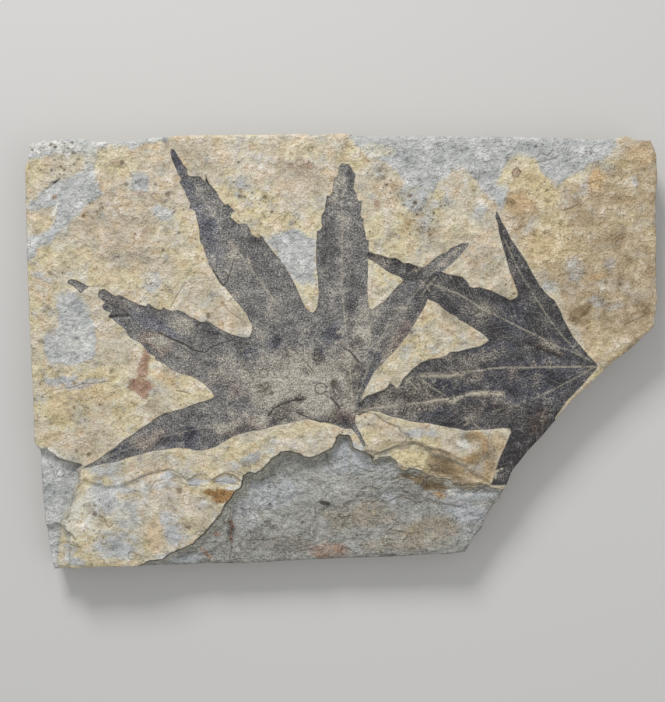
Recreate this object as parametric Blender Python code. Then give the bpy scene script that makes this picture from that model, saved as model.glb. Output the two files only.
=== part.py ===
"""A fossil leaf plate: a slab of laminated shale, split along the layer that holds two pressed leaves.

It lies on its back with the leaves up. Metres, +Z up. The origin is on the underside, below the middle of the
slab's bounding box. X runs along the slab's long side, and Y runs up the slab.

Places on the face are (x, y) pixels of a picture 665 wide and 702 high, with y down. plan() turns them into
metres, from the slab's real length.
"""

import bmesh
import bpy
import numpy as np
from mathutils import Vector, noise
from mathutils.geometry import delaunay_2d_cdt

# Driving dimensions
PLATE_LENGTH = 0.300
PLATE_THICKNESS = 0.018
IMPRINT_DEPTH = 0.0004
IMPRINT_WALL = 0.0006
ARRIS_DROP = 0.0009
ARRIS_WIDTH = 0.0012
UNDERSIDE_CHIP = 0.0014
BOW = 0.0002

# How closely the surfaces are sampled
FACE_STEP = 0.0054
RIM_STEP = 0.0046
LEDGE_STEP = 0.0036
UNDERSIDE_STEP = 0.017
LINE_MARGIN = 0.0018
CDT_EPSILON = 1e-7

# The sawn and broken rim, clockwise from the top left corner
RIM_PX = [
    (28, 142), (41, 140), (60, 138.5), (85, 138), (92, 141), (115, 140.5), (145, 138), (175, 135.5),
    (230, 134), (309, 133.3), (311, 134.5), (335, 133), (350, 133), (355, 136), (430, 136.5), (520, 137),
    (606, 138.5), (618, 137), (628, 136), (635, 139), (651, 139.5), (653, 146), (657, 154), (658, 177),
    (656.5, 230), (657, 288), (658.5, 298), (657.5, 307), (655, 315), (655.5, 326), (640, 339), (622, 353),
    (611, 363), (597, 377), (574, 400), (565, 411), (547, 431), (527, 454), (514, 470), (507, 486),
    (500, 500), (494, 506), (487, 520), (481, 531), (473, 541), (464, 554), (440, 556), (380, 559.5),
    (300, 562), (240, 566), (150, 567), (90, 569), (52, 571.5), (46, 548), (42, 515), (40, 485),
    (38.5, 455), (34, 445), (32.5, 410), (30, 335), (27, 260), (25, 200), (24, 172), (28, 160),
]

# Where sheets of shale have flaked off the leaf-bearing plane. Each outline runs along its ledge, then round
# outside the rim.
MAIN_LEDGE_PX = [
    (132, 572), (145, 564), (158, 560), (168, 553.5), (180, 549), (191, 541), (203, 530), (212, 519),
    (221, 507), (230, 495), (238, 485), (244, 474), (256, 469), (264, 461), (270, 455), (278, 451),
    (290, 450.5), (298, 453), (307, 457), (318, 454), (328, 450), (334, 444), (338, 436), (343, 433.5),
    (351, 437), (355, 446), (362, 455), (371, 462), (385, 458), (396, 460), (404, 467), (418, 469),
    (432, 474), (452, 479), (470, 482), (487, 485), (508, 492), (560, 500), (560, 620), (132, 620),
]
BROWN_FLAKE_PX = [
    (352, 452), (368, 449), (380, 451), (392, 448), (407, 443), (419, 442), (427, 447), (446, 455),
    (463, 462), (476, 473), (490, 482), (512, 486), (560, 490), (560, 620), (352, 620),
]
CORNER_CHIP_PX = [
    (10, 448), (38, 450), (47, 453), (57, 459), (70, 463.5), (83, 465), (79, 474), (75, 489), (70, 503),
    (63, 519), (58.5, 536), (57, 552), (58, 600), (10, 600),
]
CORNER_FOOT_PX = [(10, 526), (46, 523), (58, 520), (70, 530), (70, 600), (10, 600)]
TONGUE_PX = [
    (84, 478), (104, 486), (128, 482), (146, 474), (165, 471), (176, 475), (186, 479), (195, 476),
    (205, 481), (216, 477), (229, 477), (240, 483), (262, 500), (250, 620), (58, 620), (62, 530), (74, 492),
]
BLUE_FACET_PX = [(120, 548), (172, 546), (188, 548), (201, 556), (216, 568), (216, 620), (120, 620)]
LOWER_SHEET_PX = [
    (318, 513), (330, 505), (342, 508), (352, 500), (365, 493), (380, 495), (394, 489), (412, 493),
    (430, 501), (452, 503), (474, 511), (500, 514), (540, 520), (540, 620), (330, 620), (322, 560),
    (314, 536),
]

# How deep the sheet that flaked off under the main ledge was, from left to right
LEDGE_DEPTH_AT_PX = [(140, 0.0026), (200, 0.0040), (260, 0.0048), (340, 0.0042), (400, 0.0031), (500, 0.0022)]

# name: (outline, depth, width of its broken wall)
FLAKES = {
    "corner_chip": (CORNER_CHIP_PX, 0.0034, 0.0022),
    "corner_foot": (CORNER_FOOT_PX, 0.0049, 0.0024),
    "brown_flake": (BROWN_FLAKE_PX, 0.0013, 0.0014),
    "tongue": (TONGUE_PX, 0.0008, 0.0016),
}
MAIN_LEDGE_WALL = 0.0034
# Sheets that came off the floor below the main ledge, in the same form
FLOOR_FLAKES = {
    "blue_facet": (BLUE_FACET_PX, 0.0009, 0.0016),
    "lower_sheet": (LOWER_SHEET_PX, 0.0007, 0.0014),
}

# The broad leaf: from the end of its stalk, anticlockwise round its five toothed lobes
BROAD_LEAF_PX = [
    (366, 448), (360, 435), (356, 424), (358, 410), (362, 396), (366, 385), (372, 372), (381, 361),
    (392, 352), (400, 344), (408, 332), (417, 320), (424, 308), (427, 300), (433, 289), (442, 276),
    (452, 267), (458, 259), (464, 250), (470, 243), (460, 243.5), (450, 248.5), (441, 254), (433, 260),
    (426, 266), (420, 272), (412, 278), (402, 280), (394, 288), (388, 296), (380, 304), (372, 308.5),
    (368, 305), (366, 294), (367, 280), (367, 265), (368, 253), (368.5, 240), (366, 238.5), (364, 229),
    (364, 219), (361, 217), (360, 211), (362, 202), (359, 202), (356, 194), (354, 188), (356, 175),
    (353, 171), (350, 165), (341, 163), (338, 174), (336, 178), (333, 175.5), (334, 184), (332, 194),
    (328, 195), (327, 203), (325, 213), (321.5, 214), (321, 223), (323, 228), (318, 230), (317, 240),
    (316, 252), (317, 272), (319, 288), (318, 302), (314, 312), (310, 313), (302, 303), (296, 289),
    (287, 273), (278, 259), (267, 243), (262, 237), (258, 232), (259, 238), (253, 237), (250, 230),
    (245, 223.5), (238, 222), (231, 217), (233, 210), (227, 204), (222, 201), (216, 191), (210, 185),
    (206, 177), (204, 179), (196, 176), (190, 176), (187, 170), (182, 162), (176, 153), (172, 148.5),
    (170, 152), (171, 160), (177, 173), (180, 179), (179, 183), (184, 191), (190, 203), (189.5, 208),
    (195, 213), (198, 225), (200, 240), (204, 249), (210, 264), (217, 277), (225, 287), (236, 302),
    (246, 315), (252, 328), (250, 336), (244, 337.5), (232, 334), (220, 328), (208, 321), (204, 323),
    (192, 317.5), (176, 310), (172, 311), (165, 306.5), (162, 309), (154, 306.5), (149, 303.5), (147, 307),
    (133, 301), (119, 295), (116, 297), (104, 289), (99, 290), (98, 297), (104, 301), (102, 307),
    (109, 311.5), (109, 318), (115, 320), (125, 330), (131, 336.5), (143, 345), (152, 356), (166, 365),
    (184, 375), (196, 379), (207, 388), (213, 396), (206, 401), (190, 406), (166, 413), (155, 419),
    (138, 431), (118, 446), (96, 461), (82, 468), (106, 464.5), (128, 459), (152, 452), (179, 449),
    (191, 449), (197, 451), (211, 448), (225, 442), (238, 434.5), (256, 431), (276, 426), (296, 421.5),
    (311, 419.5), (326, 423), (342, 428), (350, 429.5), (356, 438), (362, 448),
]
# The broad leaf's broken tip, which lies a little apart from its second lobe
TIP_SCRAP_PX = [
    (67, 282), (68, 279.5), (77, 280), (84, 284), (90, 286.5), (84, 290), (80, 293), (75, 288), (70, 284),
]
# The side leaf: from the tip of its upper left lobe, clockwise round to the cut rim and back
SIDE_LEAF_PX = [
    (367, 252), (381, 255.5), (396, 258), (402, 263), (412, 264), (426, 269), (448, 275), (456, 275),
    (464, 281), (468, 282), (470, 287), (479, 287), (490, 291), (503, 297), (511, 300), (516, 298),
    (518, 293), (513, 276), (506, 255), (501, 237), (497, 219), (497, 209), (503, 221), (510, 237),
    (521, 254), (533, 273), (543, 291), (551, 297), (560, 312), (569, 329), (580, 346), (594, 360),
    (597, 367), (594, 374), (606, 384), (560, 440), (516, 490), (500, 485), (491, 484), (495, 473),
    (502, 454), (508, 440), (510, 430), (505, 428.5), (482, 430), (467, 431), (444, 427), (420, 422),
    (396, 418), (383, 414), (370, 410), (355, 416), (345, 421), (335, 419), (333, 412), (345, 405),
    (362, 396), (376, 391), (386, 384), (390, 381), (397, 388), (403, 378), (410, 373), (428, 363),
    (449, 355), (469, 350), (482, 345), (488, 339), (483, 335), (466, 325), (449, 313), (433, 301),
    (420, 292), (405, 279), (394, 275), (384, 267), (370, 257),
]
LEAVES_PX = (BROAD_LEAF_PX, TIP_SCRAP_PX, SIDE_LEAF_PX)

# Chips along the rim of the underside: (x, y, radius), in pixels
UNDERSIDE_CHIPS_PX = [
    (70, 200, 46), (330, 160, 40), (600, 330, 60), (420, 540, 44), (140, 540, 52), (610, 160, 34),
]

# The rim's wall, in courses: (share of the height above the underside, how far in the course lies)
WALL_COURSES = [(0.80, 0.0004), (0.56, 0.0011), (0.31, 0.0008), (0.10, 0.0014), (0.0, 0.0022)]
WALL_ROUGHNESS = 0.0010
SHALE_COLOUR = (0.56, 0.50, 0.38, 1.0)
NODE_NAME = "fossil_plate"

RIM_LOW = np.min(RIM_PX, axis=0)
RIM_HIGH = np.max(RIM_PX, axis=0)
PIXEL = PLATE_LENGTH / (RIM_HIGH[0] - RIM_LOW[0])
MIDDLE_PX = (RIM_LOW + RIM_HIGH) / 2


def clear_scene():
    for obj in list(bpy.data.objects):
        bpy.data.objects.remove(obj)


def plan(points_px):
    """Picture pixels as metres on the slab's face."""
    return (np.asarray(points_px, float) - MIDDLE_PX) * (PIXEL, -PIXEL)


def divided(line, step):
    """A closed line's own points, with more between them where they are further apart than step."""
    made = []
    for start, end in zip(line, np.roll(line, -1, axis=0)):
        parts = max(1, int(round(np.linalg.norm(end - start) / step)))
        made += [start + (end - start) * i / parts for i in range(parts)]
    return np.array(made)


def depth_inside(outline, points):
    """How far each point lies inside a closed outline, in metres, and negative outside it."""
    ends = np.roll(outline, -1, axis=0)
    nearest = np.full(len(points), np.inf)
    inside = np.zeros(len(points), bool)
    for start, end in zip(outline, ends):
        along = end - start
        from_start = points - start
        share = np.clip(from_start @ along / max(along @ along, 1e-18), 0, 1)
        nearest = np.minimum(nearest, np.linalg.norm(from_start - share[:, None] * along, axis=1))
        crosses = (start[1] > points[:, 1]) != (end[1] > points[:, 1])
        if along[1] != 0:
            inside ^= crosses & (points[:, 0] < start[0] + along[0] * (points[:, 1] - start[1]) / along[1])
    return np.where(inside, nearest, -nearest)


def ramp(value):
    """0 below 0, 1 above 1, and smooth between."""
    held = np.clip(value, 0, 1)
    return held * held * (3 - 2 * held)


def waves(points, size, octaves, seed):
    """Smooth natural unevenness about -1 to 1, whose largest waves are size metres long."""
    return np.array([noise.fractal(Vector((x / size, y / size, seed)), 1.0, 2.0, octaves) for x, y in points])


def flaked_depth(points):
    """How much shale has come off above each point."""
    depth = np.zeros(len(points))
    for outline, deepest, wall in FLAKES.values():
        depth = np.maximum(depth, deepest * ramp(depth_inside(plan(outline), points) / wall))
    pixels_x = points[:, 0] / PIXEL + MIDDLE_PX[0]
    main_depth = np.interp(pixels_x, *np.transpose(LEDGE_DEPTH_AT_PX))
    main_depth += 0.00035 * waves(points, 0.030, 3, 4.0)
    for outline, deepest, wall in FLOOR_FLAKES.values():
        main_depth += deepest * ramp(depth_inside(plan(outline), points) / wall)
    floor = ramp(depth_inside(plan(MAIN_LEDGE_PX), points) / MAIN_LEDGE_WALL)
    return np.maximum(depth, main_depth * floor)


def face_height(points, rim):
    """The split face, with its flaked places, the shallow imprints of the leaves and its worn arris."""
    into_leaf = np.max([depth_inside(plan(leaf), points) for leaf in LEAVES_PX], axis=0)
    height = PLATE_THICKNESS + BOW * waves(points, 0.110, 2, 1.0) - flaked_depth(points)
    height -= IMPRINT_DEPTH * ramp(into_leaf / IMPRINT_WALL)
    return height - ARRIS_DROP * (1 - ramp(depth_inside(rim, points) / ARRIS_WIDTH))


def underside_height(points):
    """Flat where the slab rests, with shallow chips towards its rim."""
    height = np.zeros(len(points))
    for x, y, radius in UNDERSIDE_CHIPS_PX:
        away = np.linalg.norm(points - plan((x, y)), axis=1) / (radius * PIXEL)
        height = np.maximum(height, UNDERSIDE_CHIP * ramp(1.6 * (1 - away)))
    return height


def lattice(rim, step):
    """Points in staggered rows over the rim's bounding box, a little uneven so that no rows show."""
    low, high = rim.min(axis=0), rim.max(axis=0)
    rows = np.arange(low[1], high[1], step * 0.866)
    made = []
    for i, y in enumerate(rows):
        xs = np.arange(low[0] + step / 2 * (i % 2), high[0], step)
        made += [(x, y) for x in xs]
    made = np.array(made)
    shift = np.array([noise.noise_vector(Vector((x, y, 0)) * 900)[:2] for x, y in made])
    return made + 0.25 * step * shift


def offset_line(line, distance):
    """A closed line's points moved to its left."""
    along = np.roll(line, -1, axis=0) - np.roll(line, 1, axis=0)
    along /= np.linalg.norm(along, axis=1)[:, None]
    return line + distance * np.stack([-along[:, 1], along[:, 0]], axis=1)


def anticlockwise(line):
    ends = np.roll(line, -1, axis=0)
    area = (line[:, 0] * ends[:, 1] - ends[:, 0] * line[:, 1]).sum()
    return line if area > 0 else line[::-1]


def clear_of(points, others, gap):
    """The points that lie at least gap from all the others."""
    kept = np.ones(len(points), bool)
    for other in others:
        kept &= np.linalg.norm(points - other, axis=1) > gap
    return points[kept]


def triangulated(rim, lines, loose):
    """Points and triangles of the rim's inside: the rim's points come first, and the lines stay edges."""
    points = list(rim)
    edges = [(i, (i + 1) % len(rim)) for i in range(len(rim))]
    for line in lines:
        kept = depth_inside(rim, line) > LINE_MARGIN
        place = len(points) + np.cumsum(kept) - 1
        following = np.roll(place, -1)
        both = kept & np.roll(kept, -1)
        edges += list(zip(place[both].tolist(), following[both].tolist()))
        points += list(line[kept])
    points += list(loose)
    made = delaunay_2d_cdt([Vector(p) for p in points], edges, [], 1, CDT_EPSILON)
    places = np.array([v[:] for v in made[0]])
    triangles = np.array(made[2])
    a, b, c = (places[triangles[:, i]] for i in range(3))
    turned = (b - a)[:, 0] * (c - a)[:, 1] - (b - a)[:, 1] * (c - a)[:, 0] < 0
    triangles[turned] = triangles[turned][:, ::-1]
    return places, triangles


def split_face(rim):
    """The upper face's points, triangles and heights, with edges along the flakes and the leaves."""
    walls = [(MAIN_LEDGE_PX, MAIN_LEDGE_WALL)]
    walls += [(outline, wall) for outline, _, wall in list(FLAKES.values()) + list(FLOOR_FLAKES.values())]
    lines = [divided(anticlockwise(plan(outline)), LEDGE_STEP) for outline, _ in walls]
    feet = [offset_line(line, wall) for line, (_, wall) in zip(lines, walls)]
    leaves = [anticlockwise(plan(leaf)) for leaf in LEAVES_PX]
    lines += leaves
    feet += [offset_line(leaf, IMPRINT_WALL) for leaf in leaves]
    feet = [foot[depth_inside(rim, foot) > LINE_MARGIN] for foot in feet]
    arris = offset_line(rim, ARRIS_WIDTH)
    crowd = np.vstack(lines + feet)
    loose = lattice(rim, FACE_STEP)
    loose = loose[depth_inside(rim, loose) > 2 * LINE_MARGIN]
    loose = clear_of(loose, crowd, 0.45 * FACE_STEP)
    places, triangles = triangulated(rim, lines, np.vstack([loose, arris] + feet))
    return places, triangles, face_height(places, rim)


def course_inset(places, share, depth_in):
    """How far in the wall lies at each place of a course: broken layers, some standing proud."""
    wander = np.array([noise.fractal(Vector((x * 55, y * 55, share * 9)), 1.0, 2.0, 3) for x, y in places])
    return np.maximum(0.0001, depth_in + WALL_ROUGHNESS * wander)


def plate_mesh():
    rim = divided(anticlockwise(plan(RIM_PX)), RIM_STEP)
    inward = offset_line(rim, 1.0) - rim
    places, triangles, heights = split_face(rim)
    mesh = bmesh.new()
    face_verts = [mesh.verts.new((x, y, z)) for (x, y), z in zip(places, heights)]
    for triangle in triangles:
        mesh.faces.new([face_verts[i] for i in triangle])
    above = face_verts[:len(rim)]
    for share, depth_in in WALL_COURSES:
        ring = rim + inward * course_inset(rim, share, depth_in)[:, None]
        foot = underside_height(ring)
        tops = heights[:len(rim)]
        below = [mesh.verts.new((x, y, z)) for (x, y), z in zip(ring, foot + (tops - foot) * share)]
        for i in range(len(rim)):
            following = (i + 1) % len(rim)
            mesh.faces.new([above[i], below[i], below[following], above[following]])
        above = below
    loose = lattice(ring, UNDERSIDE_STEP)
    loose = loose[depth_inside(ring, loose) > 0.4 * UNDERSIDE_STEP]
    places, triangles = triangulated(ring, [], loose)
    inner = places[len(ring):]
    under_verts = above + [mesh.verts.new((x, y, z)) for (x, y), z in zip(inner, underside_height(inner))]
    for triangle in triangles:
        mesh.faces.new([under_verts[i] for i in triangle[::-1]])
    mesh.normal_update()
    data = bpy.data.meshes.new(NODE_NAME)
    mesh.to_mesh(data)
    mesh.free()
    data.shade_smooth()
    data.set_sharp_from_angle(angle=np.radians(25))
    return data


def shale_material():
    material = bpy.data.materials.new("shale")
    material.use_nodes = True
    shader = material.node_tree.nodes["Principled BSDF"]
    shader.inputs["Base Color"].default_value = SHALE_COLOUR
    shader.inputs["Roughness"].default_value = 0.85
    shader.inputs["Metallic"].default_value = 0.0
    return material


def main():
    clear_scene()
    plate = bpy.data.objects.new(NODE_NAME, plate_mesh())
    plate.data.materials.append(shale_material())
    bpy.context.scene.collection.objects.link(plate)


main()
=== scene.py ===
"""The fossil leaf plate's looks: one detailed stone piece in place of the plain CAD slab.

Places are in pixels of a picture 665 wide and 702 high, with y down, as in the CAD model, and heights in
millimetres above the underside. make_plate() turns both into metres in the shared frame.
"""

import math
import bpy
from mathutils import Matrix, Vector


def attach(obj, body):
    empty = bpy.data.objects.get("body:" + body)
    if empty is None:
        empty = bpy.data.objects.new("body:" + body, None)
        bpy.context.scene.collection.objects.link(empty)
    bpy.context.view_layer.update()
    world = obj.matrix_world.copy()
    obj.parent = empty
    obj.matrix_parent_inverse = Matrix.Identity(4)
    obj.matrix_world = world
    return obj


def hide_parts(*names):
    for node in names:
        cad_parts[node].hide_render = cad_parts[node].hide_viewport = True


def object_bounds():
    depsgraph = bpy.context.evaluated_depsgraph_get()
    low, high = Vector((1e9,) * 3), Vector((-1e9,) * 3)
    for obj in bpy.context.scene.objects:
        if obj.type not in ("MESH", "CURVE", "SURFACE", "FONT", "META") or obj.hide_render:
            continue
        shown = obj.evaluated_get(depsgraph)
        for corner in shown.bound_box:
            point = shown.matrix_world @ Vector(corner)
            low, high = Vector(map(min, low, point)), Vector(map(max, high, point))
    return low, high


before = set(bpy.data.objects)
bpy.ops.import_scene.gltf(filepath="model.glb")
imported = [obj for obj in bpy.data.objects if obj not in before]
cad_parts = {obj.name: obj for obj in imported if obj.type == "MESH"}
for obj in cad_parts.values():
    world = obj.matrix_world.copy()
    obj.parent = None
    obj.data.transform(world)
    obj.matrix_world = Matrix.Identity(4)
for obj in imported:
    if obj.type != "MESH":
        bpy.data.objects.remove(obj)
CAD_BOX = [list(corner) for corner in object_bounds()]

import bpy
import numpy as np
from mathutils import Vector
from mathutils.geometry import delaunay_2d_cdt

# The CAD model's dimensions
PLATE_LENGTH = 0.300
LOW_PX, HIGH_PX = np.array((24.0, 133.0)), np.array((658.5, 571.5))
PIXEL = PLATE_LENGTH / (HIGH_PX[0] - LOW_PX[0])
MM = 0.001 / PIXEL
MIDDLE_PX = (LOW_PX + HIGH_PX) / 2
THICKNESS = 18.0
TOP_LIMIT = CAD_BOX[1][2] * 1000 - 0.01

# The picture in pixels, and the camera that sees it so
PICTURE_WIDE, PICTURE_HIGH = 665, 702
LENS_MM, SENSOR_MM = 70.0, 36.0

# Lights: place and size in metres, energy in watts, spread in degrees
LIGHTS = {"key": ((-0.40, 1.15, 0.78), 0.42, 4.6, 100), "fill": ((0.9, -0.5, 1.1), 1.2, 2.5, 180)}
AIM = (0, 0, 0.01)
SURROUND_COLOUR, SURROUND_STRENGTH = (0.97, 0.98, 1.0, 1), 0.50

# The floor, in metres
FLOOR_HALF = 3
FLOOR_COLOUR, FLOOR_ROUGHNESS = (0.62, 0.61, 0.59, 1), 0.9

# The stone's gloss, and the height in metres of one unit of its fine relief
STONE_ROUGHNESS, FILM_GLOSS, SPECULAR = 0.88, 0.16, 0.3
RELIEF_STRENGTH, RELIEF_UNIT = 0.8, 0.001

# Mesh spacing in pixels, and the rows of points down a broken side
FACE_STEP = 2.2
EDGE_STEP = 1.3
LEDGE_STEP = 1.8
RIM_STEP = 2.0
FOOT_STEP = 0.9
UNDER_STEP = 7.0
RIM_MARGIN = 3.2
WALL_ROWS = 15

# Distances to an outline are measured as far as this, in pixels
REACH = 16.0
FAR_OUT = -REACH

# Depths in millimetres of what is cut into the split face or broken off it
IMPRINT_DEPTH = 0.4
FLOOR_SHEETS, FACE_SHEETS, LAMINATED_SHEETS = 1.0, 0.35, 0.6
LIGHT_LINE_CUT, DARK_LINE_CUT = 0.10, 0.22
RING_CUT, SPOT_CUT, BLOT_CUT = 0.18, 0.20, 0.5
ARRIS_DROP = 0.9
LAYER_HEIGHT = 1.15
UNDER_SHEETS, UNDER_CHIPS = 0.5, 1.2

# Widths and distances in pixels
IMPRINT_WALL = 0.5 * MM
ARRIS_WIDTH = 1.2 * MM
LIP_WIDTH, SLOPE_START = 1.1, 0.7
RIM_WOBBLE = 0.35
VEIN_SPACING = 8.5

# The share of each step that a thin sheet's edge takes
SHEET_EDGE = 0.16

# A ledge's depth is shared between its sheer lip and the broken slope below
LIP_SHARE, SLOPE_SHARE = 0.42, 0.58

# Flaked places of the face and of the main floor: name, depth in millimetres, width of the wall in pixels
FLAKES = [
    ("corner_chip", 3.4, 3.2), ("corner_foot", 4.9, 3.6), ("brown_flake", 1.3, 2.6), ("tongue", 0.8, 2.0),
]
FLOOR_FLAKES = [("blue_facet", 0.9, 2.4), ("lower_sheet", 0.7, 2.0)]

# The lesser ledges' walls as the material shows them: name, width in pixels, strength
LESSER_WALLS = [("corner_chip", 2.6, 0.7), ("corner_foot", 3.0, 0.6), ("brown_flake", 2.2, 0.6)]

# Uneven surfaces: height in millimetres, size in pixels, octaves, seed, stretch
WAVES = {
    "bow": (0.05, 230, 2, 1), "face coarse": (0.22, 22, 4, 12), "face fine": (0.14, 7, 3, 13),
    "floor swell": (0.35, 64, 3, 4), "floor coarse": (0.30, 14, 4, 14, (1.6, 0.8)),
    "floor fine": (0.10, 5, 2, 15), "brink": (0.5, 9, 4, 16, (2.2, 0.7)),
}

RIM_PX = [
    (28.3, 143), (35, 142.3), (41, 140), (50, 139.2), (60, 138.8), (70, 138.7), (78, 138), (85, 138.3),
    (90, 140.5), (95, 141.3), (110, 141), (125, 140.3), (140, 139), (150, 137.5), (160, 136.5), (170, 135.7),
    (200, 134.5), (228, 134.2), (249, 133.8), (259, 134.4), (279, 133.8), (308.6, 133.3), (310, 134.8),
    (327, 133.8), (341, 133), (350.9, 133.2), (353.7, 135.8), (369, 136.2), (397, 135.8), (443, 135.9),
    (495, 136.3), (549, 137.1), (570, 137.8), (590, 138.5), (609, 138.5), (620, 137.3), (626, 135.9),
    (630, 136.8), (634.5, 139), (642, 139.6), (651, 139.9), (652.7, 144.2), (655.3, 150.3), (656.7, 154.6),
    (657.4, 166.7), (657.9, 177), (657, 189), (656.1, 203), (656.3, 224), (657, 241), (656.7, 258.5),
    (657, 286), (657.9, 294.8), (658.4, 300), (657, 305.2), (657.4, 309.5), (655.6, 315.6), (655.3, 326),
    (647.5, 333.8), (638.8, 341.6), (630.2, 349.4), (621.5, 356.3), (614.6, 360.7), (607.7, 367.6),
    (599, 376.2), (590.4, 384.9), (581.7, 391.8), (573.1, 399.6), (564.4, 410), (555.8, 420.4),
    (547.1, 430.8), (538.5, 440.3), (531.5, 448), (525.5, 455), (519.4, 462.8), (513.4, 469.7),
    (510.8, 475.8), (507.3, 484.4), (503, 493), (500.4, 500.3), (494.3, 505.2), (490, 512.1), (484.8, 522.5),
    (482.2, 530.3), (476.2, 536.3), (471, 545), (465.8, 553.5), (452, 555), (429.4, 555.7), (400, 558),
    (350, 559.7), (298.7, 561.8), (252, 565), (220, 565), (180, 566.3), (140, 567), (100, 567.7), (70, 569.5),
    (51.8, 571), (50, 562), (48, 552), (46, 540), (44, 525), (42.5, 510), (41, 495), (40, 480), (39, 465),
    (39, 455), (38, 449), (35, 445), (33.5, 440), (33.5, 430), (33, 415), (32.5, 400), (32, 385), (31, 370),
    (30.5, 355), (30, 340), (29.5, 330), (28.5, 315), (28, 300), (27.5, 290), (27, 275), (26.5, 260),
    (26, 245), (25.7, 230), (25.5, 215), (25, 200), (24.7, 180), (24.5, 170), (25, 164), (28, 160),
    (28.3, 150),
]
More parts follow.
